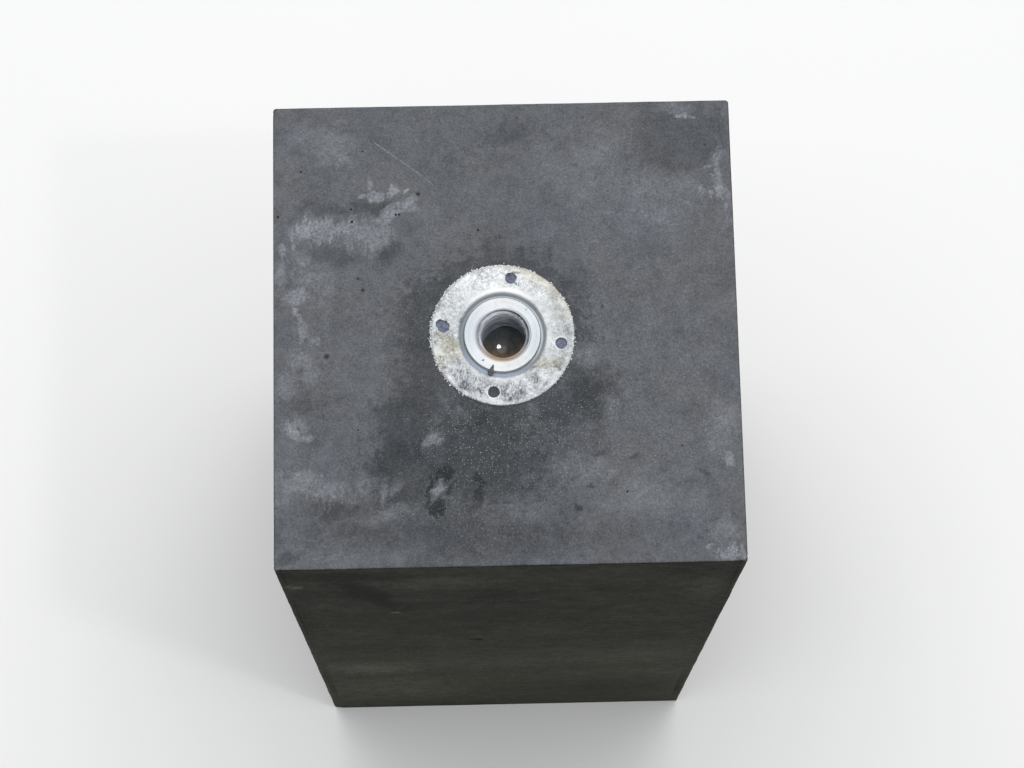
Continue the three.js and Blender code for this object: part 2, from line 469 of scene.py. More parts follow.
def rounded(points):
    """The points moved in so that every arris is round, and how near each one is to an arris."""
    radius = ARRIS_RADIUS * (1 + ARRIS_SPREAD * rough(points, 22, 4, seed=1))[:, None]
    radius = np.clip(radius, *ARRIS_LIMITS)
    from_middle = points - block_middle
    inner = np.clip(from_middle, radius - block_half, block_half - radius)
    outward = from_middle - inner
    outward /= np.maximum(np.linalg.norm(outward, axis=1, keepdims=True), 1e-9)
    result = np.where(in_well[:, None], points, block_middle + inner + outward * radius)
    return result, np.clip(2.5 * (1 - np.abs(outward).max(1)), 0, 1)


def chipped(points):
    """The points pushed to the surface of any ball that they lie in, and how much each one lost by it."""
    result = points.copy()
    lost = np.zeros(len(points))
    for centre, size in chip_balls():
        away = result - centre
        distance = np.linalg.norm(away, axis=1)
        inside = (distance < size) & ~in_well
        result[inside] = centre + away[inside] / distance[inside, None] * size
        lost[inside] = np.maximum(lost[inside], smooth_step(0.0, 0.35, size - distance[inside]))
    return result, lost


def dented(flat, points):
    """The points with blow holes, mould lines and waves, set by where each point lay on the flat faces, and
    how deep in a hole or a line each one is."""
    result = points.copy()
    pitted = np.zeros(len(flat))
    for name in FACES:
        centre, across, up, outward, half_u, half_v = face_frame(name)
        on_face = (np.abs((flat - centre) @ outward) < ON_SURFACE) & ~in_well
        u, v = (flat - centre) @ across, (flat - centre) @ up
        for hole_u, hole_v, size, depth in holes[name]:
            share = np.hypot(u - hole_u, v - hole_v) / size
            dent = depth * np.sqrt(np.clip(1 - share ** 2, 0, 1)) ** 1.2 * on_face
            result -= dent[:, None] * outward
            pitted = np.maximum(pitted, np.clip(1.6 * (1.1 - share), 0, 1) * on_face)
        inset = half_u - np.abs(u)
        if name not in ("top", "underside"):
            strip = [strong * np.exp(-((inset - at) / MOULD_LINE_WIDTH) ** 2) for at, strong in MOULD_LINES]
            line = sum(strip) * smooth_step(-0.35, 0.1, rough(flat, 90, 2, seed=3)) * on_face
            result -= (MOULD_LINE_DEPTH * line)[:, None] * outward
            pitted = np.maximum(pitted, 0.55 * line)
        if name != "underside":
            wave = FLATNESS * rough(flat, 45, 3, seed=4) - FLATNESS
            inside_face = smooth_step(0.5, 9, np.minimum(inset, half_v - np.abs(v))) * on_face
            result += (wave * inside_face)[:, None] * outward
    return result, pitted


worn_points, arris = rounded(block_points)
worn_points, broken = chipped(worn_points)
worn_points, pitted = dented(block_points, worn_points)
on_top = (np.abs(block_points[:, 2] - HEIGHT) < ON_SURFACE) & ~in_well
groove = np.exp(-(distance_to_line(block_points[:, :2], SCRATCH) / SCRATCH_WIDTH) ** 2) * on_top
worn_points[:, 2] -= SCRATCH_DEPTH * groove
worn_points = np.clip(worn_points, block_low, block_high)
block = make_piece("cast_concrete_block", worn_points, block_triangles,
                   arris=arris, broken=broken, pitted=pitted, groove=groove)
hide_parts("concrete_block")

# %% [markdown]
# ## The flange plate
# The plate was punched from 3 mm steel strip: a round disc with a soft inner shoulder, which drops into a
# groove round the hub, and four nail holes. One of the holes was torn when it was pulled off its nail.
# The plate is made as a sheet of points with its height worked out from the distance to the axis, and a
# flat copy below it.

# %% Flange plate
NAIL_CIRCLE_RADIUS = 23.0
NAIL_HOLE_RADIUS = 2.25
NAIL_PATTERN_TURN = math.radians(-9.4)
GROOVE_WIDTH = 2.6
GROOVE_FLOOR = 0.9
GROOVE_DEPTH = 1.7
PLATE_EDGE_ROUND = 0.6
RIM_RADII = [27.2, 27.4, 27.6, 27.75, 27.87, 27.95]  # rows of points over the plate's round outer edge
BURR = (0.14, 0.45, 0.3)  # round a nail hole: its height, how far out it stands, and its width
DRAW_IN = (0.18, 0.22)  # how deep the punch drew a hole's edge down, and how far from it
HOLE_ROWS = (0, 0.12, 0.3, 0.5, 0.8)  # rows of points round a nail hole: how far out from its edge
TORN_HOLE = 2
TORN_TOWARDS = math.radians(140)
plate_inner = HUB_RADIUS + 0.03
nail_angles = [NAIL_PATTERN_TURN + i * math.pi / 2 for i in range(4)]
nail_places = [(NAIL_CIRCLE_RADIUS * math.cos(a), NAIL_CIRCLE_RADIUS * math.sin(a)) for a in nail_angles]


def nail_radius(index):
    """The edge of a nail hole as a function of the angle round it. The torn one is larger and ragged."""
    if index != TORN_HOLE:
        return lambda angle: NAIL_HOLE_RADIUS + 0.05 * math.sin(3 * angle + index)
    return lambda angle: (NAIL_HOLE_RADIUS + 0.12 + 1.15 * max(0, math.cos(angle - TORN_TOWARDS)) ** 5
                          + 0.09 * math.sin(7 * angle) + 0.07 * math.sin(12 * angle + 2))


def plate_height(points):
    """Height of the plate's upper face in mm."""
    distance = np.hypot(*points.T)
    shoulder = plate_inner + GROOVE_WIDTH
    height = PLATE_TOP - GROOVE_DEPTH * smooth_step(0, GROOVE_WIDTH - GROOVE_FLOOR, shoulder - distance)
    over = np.clip(distance - (PLATE_RADIUS - PLATE_EDGE_ROUND), 0, PLATE_EDGE_ROUND)
    height -= PLATE_EDGE_ROUND - np.sqrt(np.maximum(PLATE_EDGE_ROUND ** 2 - over ** 2, 0))
    flat = smooth_step(0, 1.5, distance - shoulder) * smooth_step(0, 1, PLATE_RADIUS - distance)
    spots = np.column_stack([points, np.zeros(len(points))])
    height += flat * (0.05 * rough(spots, 9, 2, seed=6) + 0.03 * rough(spots, 1.6, 3, seed=7))
    for index, (x, y) in enumerate(nail_places):
        away = np.hypot(points[:, 0] - x, points[:, 1] - y) - NAIL_HOLE_RADIUS
        if index != TORN_HOLE:
            height += BURR[0] * np.exp(-((away - BURR[1]) / BURR[2]) ** 2)
        height -= DRAW_IN[0] * np.exp(-(away / DRAW_IN[1]) ** 2)
    return height


def plate_sheet():
    """The plate seen from above: points round the axis, and the triangles between its edges."""
    radii = list(np.linspace(plate_inner, plate_inner + GROOVE_WIDTH, 12))
    radii += list(np.arange(18.3, PLATE_RADIUS - 0.9, 0.55)) + RIM_RADII + [PLATE_RADIUS]
    rows = np.vstack([ring(0, 0, radius, 0.5) for radius in radii])
    hole_rings = []
    for index, (x, y) in enumerate(nail_places):
        edge = nail_radius(index)
        rows = rows[np.hypot(rows[:, 0] - x, rows[:, 1] - y) > NAIL_HOLE_RADIUS + 1.1]
        hole_rings += [ring(x, y, lambda a, extra=extra: edge(a) + extra, 0.28) for extra in HOLE_ROWS]
    points, triangles = triangulate(np.vstack([rows] + hole_rings))
    middles = points[triangles].mean(1)
    keep = np.hypot(*middles.T) > plate_inner - 0.005
    for index, (x, y) in enumerate(nail_places):
        away = middles - (x, y)
        edge = np.array([nail_radius(index)(a) for a in np.arctan2(away[:, 1], away[:, 0])])
        keep &= np.hypot(*away.T) > edge - 0.02
    return points, triangles[keep]


def boundary_edges(triangles):
    """The directed edges that only one triangle uses."""
    edges = np.vstack([triangles[:, [0, 1]], triangles[:, [1, 2]], triangles[:, [2, 0]]])
    seen = {tuple(edge) for edge in edges.tolist()}
    return [edge for edge in seen if (edge[1], edge[0]) not in seen]


plate_flat, plate_triangles = plate_sheet()
used = np.unique(plate_triangles)
renumber = np.zeros(len(plate_flat), int)
renumber[used] = np.arange(len(used))
plate_flat, plate_triangles = plate_flat[used], renumber[plate_triangles]
upper = np.column_stack([plate_flat + (AXIS_X, AXIS_Y), plate_height(plate_flat)])
lower = np.column_stack([plate_flat + (AXIS_X, AXIS_Y), np.full(len(plate_flat), PLATE_BOTTOM)])
count = len(plate_flat)
plate_faces = plate_triangles.tolist() + (plate_triangles[:, ::-1] + count).tolist()
plate_faces += [[b, a, a + count, b + count] for a, b in boundary_edges(plate_triangles)]
plate = make_piece("flange_plate_steel", np.vstack([upper, lower]), plate_faces)
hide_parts("flange_plate")

# %% [markdown]
# ## The threaded socket
# The hub and its barrel were turned on a lathe and threaded 20 mm coarse: one ridge climbs 2.5 mm per
# turn. The mesh is a net of points on a cylinder. Going once round, the profile slides down by one pitch,
# which is all that a screw thread is. The mouth's chamfer cuts the first turns away, as on the real one.

# %% Threaded socket
PITCH = 2.5
MAJOR_RADIUS = 10.0
MINOR_RADIUS = 8.65
THREAD_DEPTH = MAJOR_RADIUS - MINOR_RADIUS
MOUTH_RADIUS = 10.9
MOUTH_CONE_INNER, MOUTH_CONE_DEPTH = 10.35, 0.18
LEAD_IN_SLOPE = 0.95  # the cut that takes away the first turns: how much narrower per mm of depth
BORE_SHIFT, BORE_LEAN = 0.35, 0.035
HUB_EDGE_ROUND = 0.45
FACE_RADII = (14.2, 13.5, 12.5, 11.5, MOUTH_RADIUS + 0.12)
FACE_Z = HUB_TOP - 0.1  # leaves room on the face for the flake that lies on it
AROUND = 240
THREAD_STEP = 0.16


def thread_radius(angle, height):
    """Distance from the axis to the thread's surface: flat crests, with soft slopes to the roots."""
    turn = (height / PITCH - angle / (2 * math.pi)) % 1
    from_crest = np.abs(turn - 0.5) * PITCH
    return MINOR_RADIUS + THREAD_DEPTH * smooth_step(PITCH / 8, PITCH * 7 / 16, from_crest)


def turned_faces(rows, around, closed):
    """Quads between rings of points, wrapping round, and from the last ring to the first if closed."""
    faces = []
    for i in range(rows if closed else rows - 1):
        below, above = (i % rows) * around, ((i + 1) % rows) * around
        for j in range(around):
            k = (j + 1) % around
            faces.append((below + j, below + k, above + k, above + j))
    return faces


def socket_profile():
    """Radius and height up the barrel's outside, over the hub's round edge and its face to the mouth."""
    profile = [(HUB_RADIUS, z) for z in np.linspace(HUB_BOTTOM, FACE_Z - HUB_EDGE_ROUND, 7)]
    for arc in np.radians(range(15, 91, 15)):
        inset, drop = HUB_EDGE_ROUND * (1 - np.cos(arc)), HUB_EDGE_ROUND * (1 - np.sin(arc))
        profile.append((HUB_RADIUS - inset, FACE_Z - drop))
    profile += [(radius, FACE_Z) for radius in FACE_RADII]
    for share in (0, 0.25, 0.5, 0.75, 1):
        radius = MOUTH_RADIUS - (MOUTH_RADIUS - MOUTH_CONE_INNER) * share
        profile.append((radius, FACE_Z - MOUTH_CONE_DEPTH * share))
    return profile


def socket_points():
    """Rings over the profile and down the thread, how near each point is to a crest, and how many rings."""
    angles = np.arange(AROUND) * 2 * math.pi / AROUND
    rings = [(np.full(AROUND, radius), z) for radius, z in socket_profile()]
    crests = [np.zeros(AROUND) for _ in rings]
    length = HUB_TOP - HUB_BOTTOM
    for depth in list(np.arange(MOUTH_CONE_DEPTH + 0.2, length, THREAD_STEP)) + [length]:
        wall = thread_radius(angles, HUB_TOP - depth)
        lead_in = MOUTH_CONE_INNER - LEAD_IN_SLOPE * (depth - MOUTH_CONE_DEPTH)
        rings.append((np.maximum(wall, lead_in), HUB_TOP - depth))
        crests.append(1 - (wall - MINOR_RADIUS) / THREAD_DEPTH)
    x = np.concatenate([radius * np.cos(angles) for radius, _ in rings])
    y = np.concatenate([radius * np.sin(angles) for radius, _ in rings])
    z = np.repeat([height for _, height in rings], AROUND)
    in_bore = smooth_step(12.0, 10.6, np.hypot(x, y))
    x = x + in_bore * (BORE_SHIFT + BORE_LEAN * (HUB_TOP - z))
    return np.column_stack([x + AXIS_X, y + AXIS_Y, z]), np.concatenate(crests), len(rings)


socket_cloud, thread_crest, socket_rings = socket_points()
socket_faces = turned_faces(socket_rings, AROUND, True)
socket = make_piece("threaded_socket_steel", socket_cloud, socket_faces, 60, crest=thread_crest)
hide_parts("threaded_socket")

# %% [markdown]
# ## The end cap
# A plug closes the socket's lower end, to keep wet concrete out of the thread. Its upper face is a smooth
# bowl, 10 mm in radius, with a small flat mark in it that mirrors the lamp as one bright dot. Its rim is
# wider than the thread, so a thin dark line shows where the thread ends.

# %% End cap
BOWL_RADIUS = 10.0
BOWL_MOUTH_RADIUS = 9.4
BOWL_MIDDLE_Z = CAP_TOP + math.sqrt(BOWL_RADIUS ** 2 - BOWL_MOUTH_RADIUS ** 2)
BOWL_STEPS = 60
CAP_EDGE_CUT = 0.4
CAP_FOOT_CUT = 0.6
GATE_MARK_PLACE = (-1.27, 2.31)
GATE_MARK_RADIUS = 0.95
CAP_AROUND = 160


def cap_profile():
    """Radius and height from the bowl's middle to its rim, down the outside and in over the underside."""
    sweep = np.linspace(0.02, math.asin(BOWL_MOUTH_RADIUS / BOWL_RADIUS), BOWL_STEPS)
    bowl = [(BOWL_RADIUS * math.sin(a), BOWL_MIDDLE_Z - BOWL_RADIUS * math.cos(a)) for a in sweep]
    shoulder = [(9.6, CAP_TOP), (HUB_RADIUS - CAP_EDGE_CUT, CAP_TOP), (HUB_RADIUS, CAP_TOP - CAP_EDGE_CUT)]
    foot = [(HUB_RADIUS, CAP_BOTTOM + CAP_FOOT_CUT), (HUB_RADIUS - CAP_FOOT_CUT, CAP_BOTTOM)]
    return bowl + shoulder + foot + [(6.0, CAP_BOTTOM), (0.2, CAP_BOTTOM)]


def gate_mark(points):
    """Flattens the small spot where the plastic entered the mould. It mirrors the lamp as one dot."""
    x, y = GATE_MARK_PLACE
    outward = np.array([x, y, -math.sqrt(BOWL_RADIUS ** 2 - x * x - y * y)]) / BOWL_RADIUS
    from_middle = points - (AXIS_X, AXIS_Y, BOWL_MIDDLE_Z)
    along = from_middle @ outward
    beside = np.linalg.norm(from_middle - along[:, None] * outward, axis=1)
    on_bowl = (along > 0) & (along < BOWL_RADIUS + 0.1) & (points[:, 2] > CAP_BOTTOM + 1)
    flat_level = math.sqrt(BOWL_RADIUS ** 2 - GATE_MARK_RADIUS ** 2)
    return points - (on_bowl * (beside < GATE_MARK_RADIUS) * (along - flat_level))[:, None] * outward


def at_axis(radius, angle, z):
    """A place, or a ring of them, from the distance and direction from the socket's axis and the height."""
    x, y = AXIS_X + radius * np.cos(angle), AXIS_Y + radius * np.sin(angle)
    return np.stack(np.broadcast_arrays(x, y, z), -1)


profile = cap_profile()
angles = np.arange(CAP_AROUND) * 2 * math.pi / CAP_AROUND
cap_points = [at_axis(radius, angles, z) for radius, z in profile]
cap_faces = turned_faces(len(profile), CAP_AROUND, False)
first, last = range(CAP_AROUND), range((len(profile) - 1) * CAP_AROUND, len(profile) * CAP_AROUND)
cap_faces += [tuple(first), tuple(reversed(last))]
cap = make_piece("socket_end_cap_plastic", gate_mark(np.vstack(cap_points)), cap_faces, 40)
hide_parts("socket_end_cap")

# %% [markdown]
# ## Crumbs of cement
# Where the paste crept over the plate's rim it dried to crumbs of half a millimetre. Each one is a small
# ball with its points pushed in and out, pressed a little into the rim. They gather along the left and
# the far side.

# %% Cement crumbs
# The rim's stretches with crumbs on them: degrees from, degrees to, how many.
CRUMB_STRETCHES = [(110, 200, 260), (200, 240, 90), (60, 110, 130), (-45, 50, 130)]
CRUMB_SIZE = (0.12, 0.42)
THREAD_CRUMB_SIZE = (0.16, 0.38)
CRUMBS_IN_THREAD = 26
crumb_rng = np.random.default_rng(7)


def crumb(centre, size):
    """A lumpy little ball: its points, and its faces as point numbers."""
    ball = bmesh.new()
    bmesh.ops.create_icosphere(ball, subdivisions=1, radius=1.0)
    shape = np.array([vert.co for vert in ball.verts])
    faces = [[vert.index for vert in face.verts] for face in ball.faces]
    ball.free()
    shape *= 1 + 0.35 * (crumb_rng.random((len(shape), 1)) - 0.5)
    shape *= size * (0.75 + 0.5 * crumb_rng.random(3)) * (1, 1, 0.8)
    return shape + centre, faces


def crumb_places():
    """Centre and size of each crumb, sitting on the rim or just beside it."""
    for start, end, how_many in CRUMB_STRETCHES:
        for _ in range(how_many):
            angle = math.radians(start + (end - start) * crumb_rng.random())
            size = CRUMB_SIZE[0] + (CRUMB_SIZE[1] - CRUMB_SIZE[0]) * crumb_rng.random() ** 2
            radius = PLATE_RADIUS - 0.15 + crumb_rng.normal(0.0, 0.3)
            over = np.clip(radius - PLATE_RADIUS + PLATE_EDGE_ROUND, 0, PLATE_EDGE_ROUND)
            drop = PLATE_EDGE_ROUND - math.sqrt(max(PLATE_EDGE_ROUND ** 2 - over ** 2, 0))
            ground = PLATE_TOP - drop if radius < PLATE_RADIUS else HEIGHT - FLATNESS
            yield at_axis(radius, angle, ground + 0.35 * size), size
    for _ in range(CRUMBS_IN_THREAD):
        angle = math.radians(crumb_rng.normal(48, 16))
        depth = 1.2 + 7 * crumb_rng.random() ** 1.5
        radius = max(MINOR_RADIUS + 0.3, MOUTH_RADIUS - depth) + 0.2
        size = THREAD_CRUMB_SIZE[0] + (THREAD_CRUMB_SIZE[1] - THREAD_CRUMB_SIZE[0]) * crumb_rng.random()
        yield at_axis(radius, angle, HUB_TOP - depth), size


crumb_points, crumb_faces = [], []
for centre, size in crumb_places():
    points, faces = crumb(centre, size)
    start = sum(map(len, crumb_points))
    crumb_points.append(points)
    crumb_faces += [[start + index for index in face] for face in faces]
crumb_cloud = np.vstack(crumb_points)
crumb_cloud[:, 2] = np.minimum(crumb_cloud[:, 2], HUB_TOP - 0.02)
crumbs = make_piece("cement_crumbs", crumb_cloud, crumb_faces, 30)

# %% [markdown]
# Cement also rose into the nail holes and set a millimetre below the plate's face, with a sunken, lumpy
# top.

# %% Cement in the nail holes
PLUG_SUNK = 1.0
PLUG_CLEARANCE = 0.08
PLUG_DISH = 0.3  # how much lower the middle of its top lies
PLUG_LUMPS = 0.25
PLUG_AROUND = 36
PLUG_RINGS = (0.03, 0.25, 0.5, 0.7, 0.85, 0.95, 1.0)


def plug_points(index):
    """Rings of points of one plug, from the middle of its top to the middle of its underside."""
    x, y = nail_places[index]
    angles = np.arange(PLUG_AROUND) * 2 * math.pi / PLUG_AROUND
    edge = np.array([nail_radius(index)(a) for a in angles]) - PLUG_CLEARANCE
    rows = []
    for share in PLUG_RINGS:
        row = at_axis(share * edge, angles, 0.0) + (x, y, 0)
        row[:, 2] = PLATE_TOP - PLUG_SUNK - PLUG_DISH * (1 - share ** 2) + PLUG_LUMPS * rough(row, 1.1, 3)
        rows.append(row)
    for share in (PLUG_RINGS[-1], PLUG_RINGS[0]):
        rows.append(at_axis(share * edge, angles, PLATE_BOTTOM - 0.2) + (x, y, 0))
    return rows


plug_cloud, plug_faces = [], []
for index in range(len(nail_places)):
    rows = plug_points(index)
    start, size = sum(map(len, plug_cloud)), len(rows[0])
    closing = [tuple(range(size)), tuple(reversed(range((len(rows) - 1) * size, len(rows) * size)))]
    plug_faces += [[start + i for i in face] for face in turned_faces(len(rows), size, False) + closing]
    plug_cloud.append(np.vstack(rows))
plugs = make_piece("nail_hole_cement", np.vstack(plug_cloud), plug_faces, 60)

# %% [markdown]
# ## A flake on the hub
# A dark flake of mill scale lies across the joint between hub and plate, near the front. It is shaped
# like a leaf: pointed on the hub and round on the plate, and it is as thin as paper.

# %% Scale flake
FLAKE_TURN = math.radians(-107.0)
FLAKE_FROM, FLAKE_TO = 12.3, 17.2
FLAKE_HALF_WIDTH = 1.12
LEAF_SCALE = 1.42  # brings the formula of the leaf's outline to 1 where it is widest
FLAKE_THICKNESS = 0.07
FLAKE_SAG = 0.62  # how far its end hangs down into the groove
FLAKE_ROWS = 18
FLAKE_ACROSS = 5


def flake_points():
    """Rows of points along the flake, each one across its upper face and back across its lower one."""
    way, side_way = ((math.cos(a), math.sin(a)) for a in (FLAKE_TURN, FLAKE_TURN + math.pi / 2))
    rows = []
    for t in np.linspace(0, 1, FLAKE_ROWS):
        half = max(0.02, FLAKE_HALF_WIDTH * LEAF_SCALE * t ** 0.8 * (1 - t ** 7))
        along = FLAKE_FROM + (FLAKE_TO - FLAKE_FROM) * t
        height = FACE_Z + 0.01 - FLAKE_SAG * smooth_step(HUB_RADIUS - 0.2, FLAKE_TO, along)
        for lift, side in ((FLAKE_THICKNESS, 1), (0, -1)):
            for share in np.linspace(-1, 1, FLAKE_ACROSS) * side:
                across = half * share * (0.8 if share > 0 else 1.2)
                x, y = (along * a + across * b for a, b in zip(way, side_way))
                rows.append((AXIS_X + x, AXIS_Y + y, height + lift - 0.05 * share * share))
    return rows


flake_cloud = flake_points()
row_length = 2 * FLAKE_ACROSS
flake_faces = turned_faces(FLAKE_ROWS, row_length, False)
last_row = range(len(flake_cloud) - row_length, len(flake_cloud))
flake_faces += [tuple(range(row_length)), tuple(reversed(last_row))]
flake = make_piece("mill_scale_flake", flake_cloud, flake_faces, 40)

# %% [markdown]
# ## Materials
# Three helpers serve every material. One turns a colour as it is picked on a screen (sRGB) into the
# linear numbers that light adds up in. One adds a node, sets it and wires its inputs, so that a material
# reads as a list of what is mixed with what. The last lays paint over paint, which is how most of these
# surfaces came about.

# %% Material helpers
def to_linear(hex_colour):
    """An sRGB hex colour as linear red, green, blue and full alpha."""
    parts = [int(hex_colour[i:i + 2], 16) / 255 for i in (1, 3, 5)]
    return [c / 12.92 if c <= 0.04045 else ((c + 0.055) / 1.055) ** 2.4 for c in parts] + [1.0]


def add(tree, kind, inputs=(), out=0, **settings):
    """Adds a node and gives back one of its outputs. The inputs are in order, or a dict by name or number.
    Each is a value, a hex colour or the output that feeds it."""
    node = tree.nodes.new("ShaderNode" + kind)
    for name, value in settings.items():
        setattr(node, name, value)
    for key, value in (inputs if isinstance(inputs, dict) else dict(enumerate(inputs))).items():
        if isinstance(value, bpy.types.NodeSocket):
            tree.links.new(value, node.inputs[key])
        else:
            node.inputs[key].default_value = to_linear(value) if isinstance(value, str) else value
    return node.outputs[out] if node.outputs else None


def layered(new, colour, layers):
    """A colour with others laid over it. A layer ends with its colour, and the shares before that multiply
    to how much of it there is."""
    for thickness, *shares, over in layers:
        for share in shares:
            thickness = new("Math", (thickness, share), operation="MULTIPLY")
        colour = new("Mix", {0: thickness, 6: colour, 7: over}, 2, data_type="RGBA")
    return colour


def start_material(name, piece):
    """An empty material on a piece: the function that adds nodes to it, and the place in millimetres."""
    material = bpy.data.materials.new(name)
    material.use_nodes = True
    material.node_tree.nodes.clear()
    piece.data.materials.clear()
    piece.data.materials.append(material)
    new = partial(add, material.node_tree)
    metres = new("TexCoord", out="Object")
    return new, new("VectorMath", (metres, (1 / MM,) * 3), operation="MULTIPLY")


def finish_material(new, **inputs):
    """The surface shader with its inputs, named with _ for a space."""
    shader = new("BsdfPrincipled", {name.replace("_", " "): value for name, value in inputs.items()})
    new("OutputMaterial", {"Surface": shader})


# %% [markdown]
# ### Cast concrete
# Dark concrete is black pigment in grey cement. Its top is the paler face: the paste that rose there
# dried to a bluish bloom, and hands, boots and rain have left smears and damp patches. The sides were
# cast against oiled steel, so they are denser and slightly green, with cloudy bands from the layers that
# it was poured in; their dark colour is partly their own and partly painted shade for the little light
# that falls on upright faces. Every mark is an ellipse placed in millimetres. One shared warp bends them
# all, and a shared noise frays their edges, which costs far less than a noise for each. Nothing here
# reads as an ellipse afterwards.

# %% Marks on the block
CLOUDY, UPRIGHT, SWIPED = 0, 1, 2  # what frays a mark: clouds, upright wisps, or the arcs of a wiping hand
# Pale bloom on the top: x, y, half length, half width, turn in degrees, edge softness, strength, fray.
PALE_MARKS = [
    (-72.5, 41.8, 10.0, 4.6, 0, 0.35, 0.95, UPRIGHT),
    (-64.0, 42.0, 8.0, 2.6, 0, 0.5, 0.75, UPRIGHT),
    (-59.6, 43.5, 2.2, 5.0, 0, 0.5, 0.62, UPRIGHT),
    (-53.0, 39.6, 7.0, 6.0, 0, 0.6, 0.60, UPRIGHT),
    (-81.8, 37.5, 0.9, 5.0, 0, 0.5, 0.70, CLOUDY),
    (-47.0, 42.0, 2.6, 7.0, -15, 0.6, 0.62, SWIPED),
    (-44.6, 47.6, 6.0, 2.6, 45, 0.5, 0.80, SWIPED),
    (-38.2, 51.4, 5.6, 2.2, 30, 0.5, 0.72, SWIPED),
    (-35.0, 54.0, 2.0, 1.2, 45, 0.6, 0.40, SWIPED),
    (-77.8, 31.0, 3.2, 2.4, 0, 0.8, 0.50, CLOUDY),
    (-49.0, 55.8, 4.4, 2.0, 0, 0.35, 0.82, UPRIGHT),
    (-42.6, 57.2, 2.2, 2.0, 30, 0.4, 0.95, UPRIGHT),
    (-53.2, 61.0, 1.6, 2.4, 0, 0.6, 0.80, CLOUDY),
    (-56.0, 55.6, 1.5, 1.2, 0, 0.4, 0.95, CLOUDY),
    (-38.1, 56.2, 1.7, 0.7, 30, 0.4, 0.95, CLOUDY),
    (-68.5, 78.0, 12.0, 7.0, -15, 0.95, 0.42, CLOUDY),
    (-87.4, 34.2, 1.8, 3.6, 0, 0.6, 0.75, CLOUDY),
    (-87.0, 25.0, 2.2, 6.0, 0, 0.8, 0.55, CLOUDY),
    (-76.0, 22.0, 7.0, 7.0, 0, 0.9, 0.42, CLOUDY),
    (-82.6, 14.0, 4.6, 4.2, 0, 0.7, 0.85, CLOUDY),
    (-70.5, 18.0, 6.0, 6.0, 0, 0.95, 0.34, CLOUDY),
    (-82.8, 5.8, 5.0, 0.9, -60, 0.6, 0.85, CLOUDY),
    (-79.4, -0.6, 1.6, 4.6, 15, 0.7, 0.50, CLOUDY),
    (-74.9, -2.6, 2.0, 1.6, 0, 0.6, 0.50, CLOUDY),
    (-79.0, -9.5, 4.6, 5.0, 0, 0.9, 0.46, CLOUDY),
    (-74.6, -15.8, 3.6, 4.0, 0, 0.8, 0.55, CLOUDY),
    (-84.2, -20.0, 4.0, 4.6, 0, 0.9, 0.42, CLOUDY),
    (-84.4, -37.0, 4.6, 2.8, -30, 0.5, 0.90, CLOUDY),
    (-77.8, -39.9, 4.6, 1.6, 0, 0.6, 0.80, CLOUDY),
    (-79.2, -34.0, 4.0, 2.6, -45, 0.8, 0.50, CLOUDY),
    (-79.0, -59.0, 9.0, 5.0, 0, 0.9, 0.56, UPRIGHT),
    (-68.0, -62.8, 8.0, 4.0, -15, 0.8, 0.52, UPRIGHT),
    (-55.0, -61.0, 4.0, 4.0, 0, 0.9, 0.30, UPRIGHT),
    (-84.0, -63.0, 5.0, 6.0, 0, 0.95, 0.32, CLOUDY),
    (-47.4, -64.0, 1.4, 4.6, 0, 0.7, 0.52, CLOUDY),
    (-43.4, -62.4, 2.0, 3.0, 0, 0.8, 0.40, CLOUDY),
    (-44.6, -72.0, 11.0, 2.2, 15, 0.8, 0.36, CLOUDY),
    (-28.3, -43.0, 5.4, 2.6, 45, 0.6, 0.78, CLOUDY),
    (-27.0, -63.4, 2.6, 3.0, 0, 0.5, 0.80, CLOUDY),
    (-60.0, -88.0, 26.0, 4.0, 0, 0.95, 0.22, CLOUDY),
    (84.6, -88.6, 5.6, 3.0, 15, 0.6, 1.00, UPRIGHT),
    (77.4, -86.4, 1.6, 1.0, 0, 0.6, 0.90, CLOUDY),
    (81.8, -80.0, 4.6, 5.0, 0, 0.9, 0.50, CLOUDY),
    (85.4, -51.8, 2.4, 2.4, 0, 0.6, 0.85, CLOUDY),
    (84.0, -38.0, 5.0, 10.0, 0, 0.95, 0.36, CLOUDY),
    (69.0, 89.0, 8.0, 3.0, 0, 0.8, 0.42, CLOUDY),
    (71.6, 86.6, 4.4, 1.2, 0, 0.5, 0.85, UPRIGHT),
    (81.8, 65.7, 3.2, 0.9, 15, 0.5, 0.85, CLOUDY),
    (85.0, 55.6, 1.7, 4.6, 0, 0.4, 1.00, UPRIGHT),
    (81.0, 53.8, 0.9, 3.0, 0, 0.5, 0.85, UPRIGHT),
    (84.4, 63.2, 2.6, 0.7, 0, 0.5, 0.90, CLOUDY),
    (77.8, 54.6, 0.9, 2.4, 0, 0.6, 0.60, UPRIGHT),
    (86.2, 60.0, 2.4, 15.0, 0, 0.8, 0.66, UPRIGHT),
    (68.2, 48.0, 1.4, 1.2, 0, 0.8, 0.55, CLOUDY),
    (60.0, 44.4, 0.6, 0.6, 0, 0.6, 0.70, CLOUDY),
    (28.0, -54.0, 10.0, 5.0, 0, 0.95, 0.34, CLOUDY),
    (4.0, -72.4, 12.0, 3.6, 0, 0.95, 0.22, CLOUDY),
    (52.0, -68.0, 18.0, 9.0, 0, 0.95, 0.26, CLOUDY),
    (31.0, -10.0, 6.0, 4.0, -15, 0.8, 0.40, CLOUDY),
    (39.0, -31.0, 3.0, 6.0, 15, 0.9, 0.36, CLOUDY),
    (36.0, 62.0, 20.0, 16.0, 0, 0.95, 0.24, CLOUDY),
    (60.0, 52.0, 17.0, 10.0, 0, 0.7, 0.30, CLOUDY),
    (33.0, -56.0, 8.0, 4.0, 0, 0.9, 0.34, CLOUDY),
]
